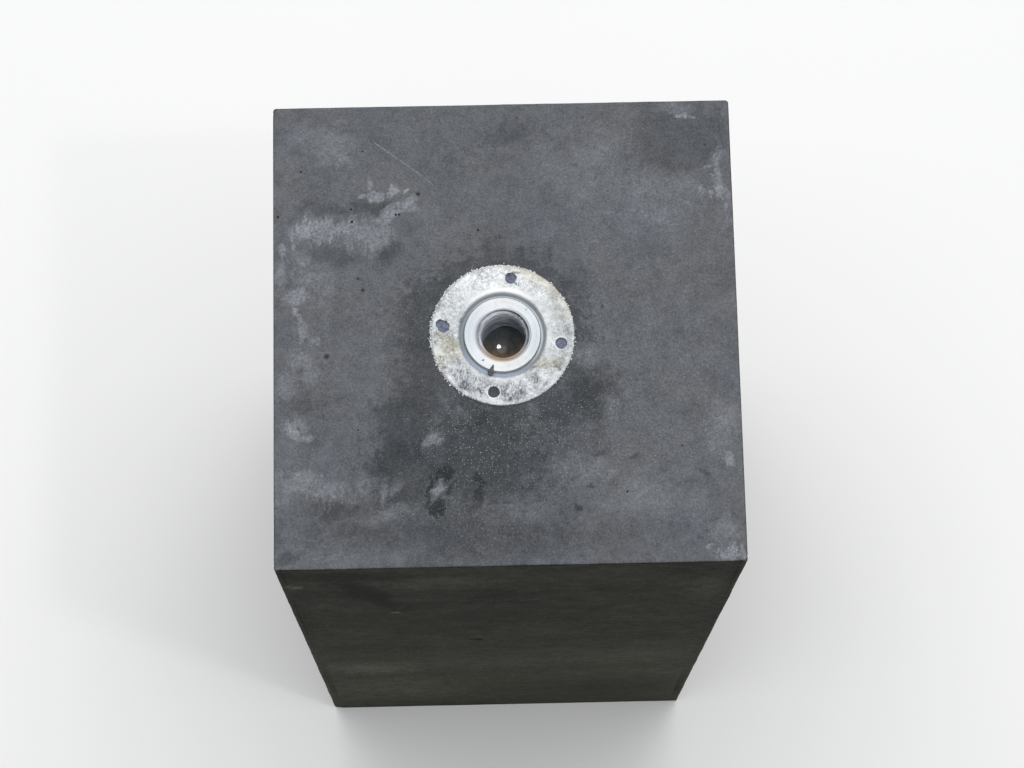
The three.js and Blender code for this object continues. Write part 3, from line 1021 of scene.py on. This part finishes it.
# Damp and dirt on the top, in the same order but for the fray, which is always cloudy.
DARK_MARKS = [
    (-3.0, -2.0, 36.5, 35.5, 0, 0.12, 0.45),
    (-1.0, 28.0, 19.0, 8.0, 0, 0.7, 0.30),
    (-32.0, -8.0, 11.0, 32.0, 0, 0.5, 0.48),
    (27.0, 16.0, 7.0, 15.0, 0, 0.9, 0.24),
    (-38.0, -38.0, 26.0, 13.0, 75, 0.6, 0.56),
    (-42.0, -50.0, 15.0, 10.0, 45, 0.7, 0.68),
    (-8.0, -36.0, 20.0, 10.0, 0, 0.95, 0.68),
    (-14.0, -50.0, 36.0, 24.0, 0, 0.7, 0.60),
    (-18.0, -79.0, 54.0, 15.0, 0, 0.9, 0.46),
    (-38.0, -64.0, 20.0, 11.0, 0, 0.8, 0.50),
    (-25.0, -56.8, 5.6, 4.4, 0, 0.5, 0.86),
    (-27.8, -69.2, 4.8, 2.5, -15, 0.5, 0.86),
    (-31.4, -63.4, 1.6, 6.6, 0, 0.5, 0.85),
    (-22.4, -63.2, 1.3, 5.6, 0, 0.5, 0.75),
    (-12.2, -61.4, 2.4, 7.4, 0, 0.6, 0.84),
    (30.0, -26.0, 12.0, 12.0, -15, 0.85, 0.66),
    (20.0, -33.0, 16.0, 12.0, 30, 0.95, 0.58),
    (12.0, -46.0, 26.0, 21.0, 0, 0.9, 0.30),
    (-66.0, -70.0, 9.0, 5.0, 0, 0.9, 0.50),
    (-60.0, -77.5, 14.0, 5.0, 0, 0.95, 0.42),
    (-84.6, -88.6, 5.0, 3.0, 15, 0.8, 0.60),
    (24.0, -82.0, 36.0, 3.6, 0, 0.9, 0.20),
    (34.9, -51.0, 2.6, 1.8, 30, 0.7, 0.70),
    (47.3, -52.4, 3.0, 2.0, 30, 0.9, 0.50),
    (27.7, -70.4, 2.3, 2.1, 0, 0.7, 0.70),
    (30.8, -61.7, 0.9, 0.9, 0, 0.6, 0.55),
    (40.4, -59.7, 1.4, 1.2, 0, 0.8, 0.50),
    (75.4, -57.8, 3.0, 1.5, 0, 0.9, 0.50),
    (70.0, 78.5, 20.5, 15.5, 0, 0.2, 0.27),
    (4.0, 79.0, 8.0, 7.0, 0, 0.9, 0.34),
    (19.0, 56.0, 4.0, 7.0, 0, 0.9, 0.25),
    (-51.0, 51.0, 12.0, 3.0, 0, 0.8, 0.42),
    (-69.0, 50.0, 10.0, 2.6, 0, 0.8, 0.36),
    (-46.0, 32.0, 6.0, 4.0, 0, 0.9, 0.42),
    (-66.0, 31.0, 10.0, 4.0, -15, 0.9, 0.30),
    (-75.0, -28.0, 12.0, 4.0, 0, 0.95, 0.28),
]
# The front face's marks: x and height of the middle, then the same numbers.
FRONT_PALE_MARKS = [
    (-47.5, 313.2, 2.6, 1.7, 0, 0.3, 1.00, CLOUDY),
    (-86.0, 382.0, 2.6, 5.0, 0, 0.7, 0.70, CLOUDY),
    (-62.0, 148.0, 22.0, 20.0, 0, 0.9, 0.60, CLOUDY),
    (-10.0, 160.0, 36.0, 26.0, 0, 0.95, 0.22, CLOUDY),
    (52.0, 172.0, 38.0, 26.0, 0, 0.95, 0.24, CLOUDY),
    (60.0, 116.0, 34.0, 18.0, 0, 0.95, 0.16, CLOUDY),
    (-30.0, 384.0, 22.0, 12.0, 0, 0.95, 0.34, CLOUDY),
    (80.0, 360.0, 9.0, 30.0, 0, 0.95, 0.22, CLOUDY),
    (-52.0, 70.0, 32.0, 40.0, 0, 0.95, 0.34, CLOUDY),
]
FRONT_DARK_MARKS = [
    (-66.0, 402.0, 24.0, 11.0, 0, 0.8, 0.72),
    (-57.0, 362.0, 50.0, 8.0, -75, 0.7, 0.85),
    (-44.0, 330.0, 14.0, 14.0, 0, 0.9, 0.52),
    (-6.0, 296.0, 60.0, 22.0, 0, 0.95, 0.36),
    (40.0, 232.0, 44.0, 12.0, 0, 0.95, 0.30),
    (-60.0, 215.0, 26.0, 14.0, 0, 0.95, 0.28),
    (52.0, 62.0, 42.0, 30.0, 0, 0.95, 0.36),
]
print("marks:", len(PALE_MARKS + FRONT_PALE_MARKS), "pale and", len(DARK_MARKS + FRONT_DARK_MARKS), "dark")

# %% Turn a table of marks into a mask
def all_marks(new, place, frays, marks):
    """The strongest mark at each point. frays are noises that push the marks' edges in and out."""
    turned = {0: place}
    for turn in sorted({mark[4] for mark in marks} - {0}):
        turned[turn] = new("Mapping", {"Vector": place, "Rotation": (0, 0, -math.radians(turn))})
    total = None
    for x, y, half_length, half_width, turn, softness, strength, *fray in marks:
        angle = math.radians(turn)
        middle_u = x * math.cos(angle) + y * math.sin(angle)
        middle_v = y * math.cos(angle) - x * math.sin(angle)
        shares = (1 / half_length, 1 / half_width, 0)
        offset = (-middle_u / half_length, -middle_v / half_width, 0)
        inside = new("VectorMath", (turned[turn], shares, offset), operation="MULTIPLY_ADD")
        distance = new("VectorMath", (inside,), "Value", operation="LENGTH")  # 0 in the middle, 1 at the rim
        reach = 0.5 + 0.5 * softness
        frayed = new("Math", (frays[fray[0] if fray else CLOUDY], reach, distance), operation="MULTIPLY_ADD")
        edge = 1 + 0.5 * reach
        mask = new("MapRange", (frayed, edge + 0.6 * softness, edge - 0.9 * softness, 0.0, strength),
                   interpolation_type="SMOOTHSTEP")
        total = mask if total is None else new("Math", (total, mask), operation="MAXIMUM")
    return total


# %% [markdown]
# The grain of concrete is the same at every scale, from clouds to sand. A noise whose octaves are all
# equally strong gives that (roughness 1), and it multiplies the colour. Two sets of dots come on top:
# dark pores, and pale dots on the flange's near side that are painted glints of sand and droplets.

# %% Noises and dots
SWIPE_CENTRE = (-33.0, 35.0)
WARPS = [(13, 2, 3.2), (2.4, 3, 0.9)]  # lump in mm, detail, and how far it bends the place in mm


def spread_noise(new, place, lump_mm, low=0.36, high=0.64, **inputs):
    """A noise stretched to fill 0 to 1."""
    settings = {"Vector": place, "Scale": 1 / lump_mm, "Detail": 5, "Roughness": 0.65} | inputs
    return new("MapRange", (new("TexNoise", settings), low, high))


def dots(new, place, cell_mm, radius_share, share_of_cells):
    """Small round dots: 1 inside, 0 outside. One cell in so many has a dot in it."""
    distance = new("TexVoronoi", {"Vector": place, "Scale": 1 / cell_mm})
    inside = new("MapRange", (distance, radius_share, radius_share * 0.5))
    pick = new("SeparateXYZ", (distance.node.outputs["Color"],))
    chosen = new("Math", (pick, share_of_cells), operation="LESS_THAN")
    return new("Math", (inside, chosen), operation="MULTIPLY")


def bent_place(new, place):
    """The place bent by two noises, so that no mark keeps the outline of an ellipse."""
    bent = place
    for lump_mm, detail, bend_mm in WARPS:
        noise_inputs = {"Vector": place, "Scale": 1 / lump_mm, "Detail": detail}
        bend = new("TexNoise", noise_inputs, "Color", normalize=False)
        bent = new("VectorMath", (bend, (bend_mm,) * 3, bent), operation="MULTIPLY_ADD")
    return bent


def mark_frays(new, place, bent, flat):
    """Clouds, upright wisps 9 mm long, and arcs round the elbow of the hand that wiped the top."""
    clouds = spread_noise(new, place, 4, Detail=6, Roughness=0.8)
    lean = (0, 0, math.radians(-4))
    narrow = new("Mapping", {"Vector": bent, "Rotation": lean, "Scale": (1, 1 / 9, 1 / 20)})
    wisps = spread_noise(new, narrow, 1.1)
    from_elbow = new("VectorMath", (flat, (-SWIPE_CENTRE[0], -SWIPE_CENTRE[1], 0)))
    radius = new("VectorMath", (from_elbow,), "Value", operation="LENGTH")
    arcs = spread_noise(new, new("CombineXYZ", (radius,)), 1.5, Detail=2)
    return clouds, wisps, arcs


# %% [markdown]
# The top gets its damp first, then the pale bloom over it, then the painted glints. The sides are dark,
# partly as painted shade, and painted paler towards the foot, as light thrown back off the floor. The wear
# that the mesh knows about comes last, from numbers kept on its points: rounded arrises are rubbed pale,
# broken ones show the cement inside, and pits are dark.

# %% Colours of the concrete
# Painted glints: where pale dots stand in for sparkling sand and droplets on the flange's near side.
GLINT_MARKS = [
    (-12.0, -44.0, 28.0, 20.0, 0, 0.9, 1.0),
    (14.0, -42.0, 34.0, 24.0, 0, 0.9, 0.85),
    (56.0, -30.0, 38.0, 44.0, 0, 0.9, 0.5),
    (-16.0, -70.0, 44.0, 20.0, 0, 0.9, 0.55),
    (46.0, 6.0, 34.0, 36.0, 0, 0.9, 0.4),
    (-34.0, -4.0, 10.0, 30.0, 0, 0.9, 0.4),
]


def top_colour(new, place, flat, frays, mottle):
    tint = spread_noise(new, place, 30)
    pale = all_marks(new, flat, frays, PALE_MARKS)
    # Painted glints: pale dots that stand in for sparkling sand on the flange's near side.
    glints = all_marks(new, flat, frays, GLINT_MARKS)
    return layered(new, "#595a5d", [
        (tint, "#575a5f"),
        (all_marks(new, flat, frays, DARK_MARKS), "#222527"),
        (pale, mottle, "#868a90"),
        (dots(new, place, 0.72, 0.28, 0.5), glints, "#93979d"),
    ])


def side_colour(new, place, bent, frays, on_front):
    layered_place = new("Mapping", {"Vector": bent, "Scale": (1 / 36, 1 / 36, 1 / 26)})
    clouds = spread_noise(new, layered_place, 1.0, 0.34, 0.66, Detail=6)
    height = new("SeparateXYZ", (bent,), "Z")
    # Painted light: the sides are painted paler towards the foot, as if lit by light thrown back off the
    # floor.
    floor_bounce_light = new("MapRange", (height, 330, 60, 0, 0.68))
    blotch = spread_noise(new, place, 5, Detail=4, Roughness=0.9)
    front_place = new("CombineXYZ", (new("SeparateXYZ", (bent,), "X"), height))
    # Painted shade: the sides' dark colours are partly the concrete's own and partly painted shade for the
    # weak light on upright faces.
    return layered(new, "#0c0d0a", [
        (clouds, "#2e2d26"),
        (floor_bounce_light, "#434338"),
        (blotch, 0.46, "#434339"),
        (all_marks(new, front_place, frays, FRONT_DARK_MARKS), on_front, "#0c0c08"),
        (all_marks(new, front_place, frays, FRONT_PALE_MARKS), on_front, "#5a5b50"),
    ])


# %% Cast concrete material
def concrete_material(piece):
    new, place = start_material("dark cast concrete", piece)
    bent = bent_place(new, place)
    flat = new("VectorMath", (bent, (1, 1, 0)), operation="MULTIPLY")
    frays = mark_frays(new, place, bent, flat)
    mottle = new("MapRange", (spread_noise(new, place, 1.5, Detail=3, Roughness=0.9), 0, 1, 0.25, 0.95))
    facing = new("TexCoord", out="Normal")
    on_front = new("MapRange", (new("SeparateXYZ", (facing,), "Y"), -0.6, -0.8))
    on_top = new("MapRange", (new("SeparateXYZ", (facing,), "Z"), 0.55, 0.85))
    pitted = new("Math", (new("Attribute", out="Fac", attribute_name="pitted"), 0.72), operation="MULTIPLY")
    pores = new("Math", (dots(new, place, 4.2, 0.1, 0.6), 0.35), operation="MULTIPLY")
    colour = layered(new, side_colour(new, place, bent, frays, on_front), [
        (on_top, top_colour(new, place, flat, frays, mottle)),
        (new("Attribute", out="Fac", attribute_name="arris"), frays[CLOUDY], 0.5, "#6a6e73"),
        (new("Attribute", out="Fac", attribute_name="broken"), "#4b4f53"),
        (new("Attribute", out="Fac", attribute_name="groove"), mottle, "#8c9096"),
        (new("Math", (pores, pitted), operation="MAXIMUM"), "#121314"),
    ])
    clouds = new("TexNoise", {"Vector": place, "Scale": 1 / 9, "Detail": 5, "Roughness": 1.0})
    clouds = new("MapRange", (clouds, 0, 1, 0.2, 1.8), clamp=False)
    sand = new("TexNoise", {"Vector": place, "Scale": 1 / 0.8, "Detail": 1, "Roughness": 1.0})
    speck = new("MapRange", (sand, 0, 1, 0.5, 1.5), clamp=False)
    grain = new("Math", (clouds, speck), operation="MULTIPLY")
    grain = new("Math", (grain, new("MapRange", (on_top, 0, 1, 1.6, 1.0))), operation="POWER")
    finish_material(
        new,
        Base_Color=new("VectorMath", {0: colour, 3: grain}, operation="SCALE"),
        Roughness=0.85,
        Specular_IOR_Level=0.1,  # dry and porous: the dark sides stay dark even when looked along
        Normal=new("Bump", {"Height": sand, "Strength": 0.5, "Distance": 0.15 * MM}),
    )


concrete_material(block)

# %% [markdown]
# ### Zinc-plated steel
# Zinc plating is a thin bright skin with a bluish cast. On the plate a film of cement hides most of it:
# whitish and whole on the far side, where it is also painted whiter as a highlight, and rubbed to upright
# streaks on the near side, where the bare metal is dull and dark. On the hub it is still clean, and the
# lathe's rings spread its highlight into a bow tie; its left and right sides are also painted darker and
# bluer, a painted shade that draws the bow tie into its colour.

# %% Masks round the socket's axis
def from_axis(new, place, lift=0.0):
    """The place in mm from the socket's axis, the same laid flat, and the distance from the axis."""
    local = new("VectorMath", (place, (AXIS_X, AXIS_Y, lift)), operation="SUBTRACT")
    flat = new("VectorMath", (local, (1, 1, 0)), operation="MULTIPLY")
    return local, flat, new("VectorMath", (flat,), "Value", operation="LENGTH")


def towards(new, local, direction, start, end, most=1.0):
    """0 up to a distance from the axis in a direction, rising to most at another distance."""
    along = new("VectorMath", (local, direction), "Value", operation="DOT_PRODUCT")
    return new("MapRange", (along, start, end, 0, most))


RIGHT, LEFT, FAR, NEAR = (1, 0, 0), (-1, 0, 0), (0, 1, 0), (0, -1, 0)

# %% [markdown]
# The film is one mask from 0, bare metal, to 1, thick cement. It sets the colour, how metallic the
# surface is, how rough, and a small bump, so that all four agree about where the cement lies.

# %% Cement film on the plate
# Tints on the plate, from the socket's axis: the same numbers as for the marks on the concrete.
YELLOW_MARKS = [
    (-21.5, -6.0, 5.0, 6.0, 0, 0.95, 0.70),
    (17.5, -11.5, 6.0, 3.0, 0, 0.95, 0.45),
    (22.0, 12.0, 5.0, 9.0, 30, 0.95, 0.22),
    (10.0, 25.0, 14.0, 3.0, -30, 0.95, 0.45),
]
SCRATCHED_MARKS = [
    (5.6, 24.8, 1.8, 0.5, 0, 0.7, 0.7),
    (5.6, 20.4, 1.4, 0.6, -45, 0.7, 0.7),
    (-24.0, 5.6, 1.5, 1.1, 0, 0.6, 0.8),
    (12.0, -13.0, 1.8, 0.5, 30, 0.7, 0.5),
]


def cement_film(new, place, local, distance, fine, broad, streaks):
    """How thick the film is: whole but patchy on the far side, rubbed to streaks on the near side, and made
    whole on the far shoulder, which paints a highlight there.
    """
    near = new("VectorMath", (local, (0.25, 1, 0)), "Value", operation="DOT_PRODUCT")
    near = new("Math", (broad, 12, near), operation="MULTIPLY_ADD")
    near = new("MapRange", (near, -1, -9), interpolation_type="SMOOTHSTEP")
    near = new("Math", (near, towards(new, local, RIGHT, 13, 22, 0.5)), operation="MAXIMUM")
    wavy = new("Math", (broad, 2.4, distance), operation="MULTIPLY_ADD")
    for limits in ((19.2, 21), (27.9, 26.4)):  # the hollow beside the shoulder and the rim keep their film
        near = new("Math", (near, new("MapRange", (wavy, *limits))), operation="MULTIPLY")
    thinnest = new("MapRange", (spread_noise(new, place, 9, Detail=2), 0, 1, 0.14, 0.72))
    whole = new("MapRange", (fine, 0, 1, thinnest, 1.0))
    streaky = new("Math", (streaks, whole), operation="MULTIPLY")
    film = new("Mix", {0: near, 2: whole, 3: streaky})
    # Painted highlight: the film is made whole on the far side of the shoulder, so that it reads white
    # there.
    far_shoulder_highlight = new("MapRange", (distance, 21, 18.5))
    far_shoulder_highlight = new("Math", (towards(new, local, FAR, 7, 14), far_shoulder_highlight), operation="MULTIPLY")
    return new("Math", (film, far_shoulder_highlight), operation="MAXIMUM")


# %% Zinc-plated plate
def plate_material(piece):
    new, place = start_material("zinc plated steel with cement film", piece)
    local, flat, distance = from_axis(new, place)
    fine = spread_noise(new, place, 1.1, 0.38, 0.62, Detail=3, Roughness=0.9)
    broad = spread_noise(new, place, 6, Detail=4)
    upright = new("Mapping", {"Vector": place, "Scale": (1 / 0.55, 1 / 1.7, 1)})
    streaks = spread_noise(new, upright, 1.0, 0.41, 0.53, Detail=5, Roughness=0.92)
    patches = new("MapRange", (broad, 0, 1, -0.28, 0.4))
    streaks = new("Math", (streaks, patches), operation="ADD", use_clamp=True)
    film = cement_film(new, place, local, distance, fine, broad, streaks)
    groove = new("MapRange", (distance, 17.3, 16.2))
    film = new("Mix", {0: groove, 2: film, 3: 0.6})
    cement = layered(new, "#bfc4c7", [
        (broad, "#dadddf"),
        # Painted highlight: the far side of the plate is painted whiter.
        (towards(new, local, FAR, 11, 22, 0.7), "#f1f2f3"),
        (all_marks(new, flat, (broad,), YELLOW_MARKS), "#bdb594"),
    ])
    # Painted shade and light: the groove is painted darker than the cement, as shade in the hollow, with a
    # bluish cast, and paler towards its near side, where light falls on it.
    groove_shade_and_light = layered(new, "#777f85", [(towards(new, local, (-0.25, -1, 0), 8, 15), "#929fb5")])
    layers = [
        (film, cement),
        (groove, groove_shade_and_light),
        # Painted highlight: a pale band on the groove's floor beside the hub, towards the far right, where
        # light catches it.
        (new("MapRange", (distance, 15.9, 15.3)), towards(new, local, (0.7, 0.7, 0), -4, 6), "#c3c9cf"),
    ]
    for x, y in (nail_places[0], nail_places[3]):
        away = new("VectorMath", (flat, (x, y, 0)), "Value", operation="DISTANCE")
        # Painted highlight: a whitish ring on the burr round two nail holes, where it catches the light.
        burr_highlight = new("Math", (away, NAIL_HOLE_RADIUS + 0.3, 0.24), operation="COMPARE")
        layers.append((burr_highlight, streaks, "#dcdedf"))
    rust = (new("MapRange", (distance, 25.8, 27.8)), towards(new, local, (0.6, 0.8, 0), 20, 27), fine)
    layers += [
        # Painted shade: the plate's rim is painted darker on the left, the side away from the lamp.
        (new("MapRange", (distance, 26.9, 27.5, 0, 0.7)), towards(new, local, LEFT, 10, 21), "#6d727c"),
        (*rust, "#ab9670"),
        (all_marks(new, flat, (fine,), SCRATCHED_MARKS), "#3a3d44"),
    ]
    metal = layered(new, "#303339", [(broad, "#666a71")])
    finish_material(
        new,
        Base_Color=layered(new, metal, layers),
        Metallic=new("MapRange", (film, 0, 0.6, 1.0, 0.0)),
        Roughness=new("MapRange", (film, 0, 1, 0.42, 0.75)),
        Normal=new("Bump", {"Height": film, "Strength": 0.6, "Distance": 0.12 * MM}),
    )


plate_material(plate)

# %% [markdown]
# The socket is two surfaces in one: the clean face, and the bore with its thread. In the bore the crests
# are painted bright as highlights and the roots dark as shade, dirt lies in bands along the turns, the
# wall is painted darker deeper down, and rust water has run down the near side. The mesh carries a number
# for how near each point is to a crest.

# %% Zinc-plated socket
HUB_DOTS = [(-7.6, -10.1, 0.42, 0.36, 0, 0.3, 0.9), (9.4, 9.8, 0.8, 0.3, 45, 0.7, 0.4)]


def thread_colour(new, local, fine, near, depth):
    """The colour of the bore's wall, with painted highlights on its crests, painted shade that darkens it
    deeper down and on the right, and painted light on its top millimetre. depth is the height of the place,
    counted from the hub's top.
    """
    # Painted shade: the wall is painted darker the deeper it lies in the bore.
    deep_shade = new("MapRange", (depth, -2, -13))
    crest = new("MapRange", (new("Attribute", out="Fac", attribute_name="crest"), 0.15, 0.6))
    in_turns = new("Mapping", {"Vector": local, "Scale": (1 / 9, 1 / 9, 1 / 1.3)})
    dirt = spread_noise(new, in_turns, 1.0, 0.42, 0.6, Detail=3)
    return layered(new, layered(new, "#3c4350", [(deep_shade, "#12151b")]), [
        # Painted highlight: the crests are painted near white, and the roots keep the darker colour as
        # painted shade.
        (crest, layered(new, "#f4f6fc", [(deep_shade, "#b2bacb")])),
        # Painted light: the top millimetre of the bore is painted pale.
        (new("MapRange", (depth, -1.1, -0.5)), layered(new, "#a9afbb", [(fine, "#dfe3ea")])),
        (dirt, 0.5, "#2b2f38"),
        # Painted shade: the right side of the bore, which faces away from the lamp, is painted darker.
        (towards(new, local, RIGHT, 3, 9, 0.6), "#3b4048"),
        (near, layered(new, "#b7a590", [(deep_shade, "#5a4b3c")])),
    ])


def socket_material(piece):
    new, place = start_material("bright zinc plated steel", piece)
    local, flat, distance = from_axis(new, place, HUB_TOP)
    mottle = spread_noise(new, place, 3, Detail=4)
    fine = spread_noise(new, place, 0.9, Detail=2)
    lathe = spread_noise(new, new("CombineXYZ", (distance,)), 0.45, Detail=2)
    across = new("Math", (new("SeparateXYZ", (local,), "X"),), operation="ABSOLUTE")
    depth = new("SeparateXYZ", (local,), "Z")
    near = towards(new, local, NEAR, 4, 9.5)
    lip = new("MapRange", (distance, 11.1, 10.8))
    lip_tone = layered(new, "#c6cad4", [(towards(new, local, LEFT, 4, 9), "#9ea2ac"), (near, "#b9a08b")])
    in_bore = new("MapRange", (depth, -0.35, -0.5))
    colour = layered(new, "#9fa1a3", [
        (mottle, "#aeafb0"),
        # Painted shade: the hub is painted darker and bluer to its left and right, which draws the bow tie
        # of its highlight.
        (new("MapRange", (across, 3, 13, 0, 0.8)), "#8d969d"),
        (lathe, 0.45, "#bdbfc0"),
        (lip, lip_tone),
        (in_bore, thread_colour(new, local, fine, near, depth)),
        (all_marks(new, flat, (fine,), HUB_DOTS), "#2a2d35"),
    ])
    dull = new("Math", (lip, in_bore), operation="MAXIMUM")
    finish_material(
        new,
        Base_Color=colour,
        Metallic=new("MapRange", (dull, 0, 1, 0.8, 0.4)),
        Anisotropic=0.7,
        Roughness=new("MapRange", (in_bore, 0, 1, 0.5, 0.34)),
        Tangent=new("Tangent", direction_type="RADIAL", axis="Z"),
        Normal=new("Bump", {"Height": fine, "Strength": 0.15, "Distance": 0.05 * MM}),
    )


socket_material(socket)

# %% [markdown]
# ### Plug plastic, cement and mill scale
# The plug is a glossy plastic. Its far side is grey, and its near side is painted lighter and brown, a
# painted glow of reflected light on an oily film. Its gloss catches the small lamp as one bright dot. The
# cement in the nail holes is dark slate, since no light reaches it, and the crumbs on the rim are the pale
# colour of cement dried in the sun. Mill scale is the blue-black skin of oxide that hot rolling leaves on
# steel.

# %% Plug plastic
def cap_material(piece):
    new, place = start_material("oily moulded plastic with painted glow", piece)
    local, _, _ = from_axis(new, place)
    cloud = spread_noise(new, place, 4, Detail=4)
    uneven = new("Math", (cloud, -4, new("SeparateXYZ", (local,), "Y")), operation="MULTIPLY_ADD")
    # Painted reflection: the near side of the bowl is painted lighter and brown, a glow of reflected light
    # on an oily film.
    oil_and_glow = new("MapRange", (uneven, 4, -8), interpolation_type="SMOOTHSTEP")
    brown = layered(new, "#6f5b44", [(cloud, "#8c7352")])
    finish_material(
        new,
        Base_Color=layered(new, "#494e51", [(cloud, "#5c6265"), (oil_and_glow, brown)]),
        Roughness=0.5,
        Specular_IOR_Level=0.1,  # the base is left almost without gloss, and the coat carries it
        Coat_Weight=0.3,
        Coat_Roughness=0.11,
    )


cap_material(cap)

# %% Cement in the nail holes, crumbs and mill scale
def speckled(new, place, lump_mm, dark, light, **noise_inputs):
    """Two colours in a speckle as coarse as lump_mm."""
    return layered(new, dark, [(spread_noise(new, place, lump_mm, **noise_inputs), light)])


new, place = start_material("cement in the nail holes", plugs)
slate = speckled(new, place, 1.2, "#3c4050", "#727789", Detail=4, Roughness=0.8)
nearest = new("MapRange", (new("SeparateXYZ", (place,), "Y"), AXIS_Y - 15, AXIS_Y - 20, 0, 0.75))
finish_material(new, Base_Color=layered(new, slate, [(nearest, "#2c2b2c")]), Roughness=0.85)
new, place = start_material("dried cement crumbs", crumbs)
finish_material(new, Base_Color=speckled(new, place, 1.0, "#a3a6a8", "#dcdddb", Detail=3), Roughness=0.85)
new, place = start_material("mill scale", flake)
finish_material(new, Base_Color=speckled(new, place, 0.8, "#26282d", "#464a52", Detail=3), Roughness=0.6)

# %% [markdown]
# ## Floor and light
# The block stands on a plain pale floor. One large soft panel hangs above it, a weak even sky fills the
# shadows, and a small lamp beside the camera gives the bright dot in the bowl.

# %% Floor
FLOOR_SIZE_MM = 9000
half = FLOOR_SIZE_MM / 2 * MM
floor_corners = [(-half, -half, 0), (half, -half, 0), (half, half, 0), (-half, half, 0)]
floor_mesh = bpy.data.meshes.new("floor")
floor_mesh.from_pydata(floor_corners, [], [(0, 1, 2, 3)])
floor = bpy.data.objects.new("floor", floor_mesh)
bpy.context.scene.collection.objects.link(floor)
floor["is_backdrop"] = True
new, _ = start_material("pale studio floor", floor)
finish_material(new, Base_Color="#f1f1f0", Roughness=0.9)

# %% Light
def area_light(name, place_mm, size_mm, watts, aim_mm=(0, 0, 420)):
    """A square soft light that faces a point."""
    data = bpy.data.lights.new(name, "AREA")
    data.size = size_mm * MM
    data.energy = watts
    light = bpy.data.objects.new(name, data)
    light.location = Vector(place_mm) * MM
    direction = (Vector(aim_mm) - Vector(place_mm)).normalized()
    light.rotation_euler = direction.to_track_quat("-Z", "Y").to_euler()
    bpy.context.scene.collection.objects.link(light)
    return light


area_light("overhead_panel", place_mm=(0, 520, 2650), size_mm=2400, watts=68)
area_light("camera_lamp", place_mm=(289, -241, 1453), size_mm=60, watts=1.4)
world = bpy.data.worlds.new("studio")
world.use_nodes = True
sky = world.node_tree.nodes["Background"]
sky.inputs["Color"].default_value = to_linear("#f2f5f8")
sky.inputs["Strength"].default_value = 0.33
bpy.context.scene.world = world
bpy.context.scene.view_settings.view_transform = "Standard"
bpy.context.scene.view_settings.look = "None"

# %% Measure the sizes and finish
visual_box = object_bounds()
boxes = {"cad": cad_box, "visual": visual_box}
{name: [list(corner) for corner in box] for name, box in boxes.items()}
print("visual box in metres:", [tuple(round(v, 4) for v in corner) for corner in visual_box])
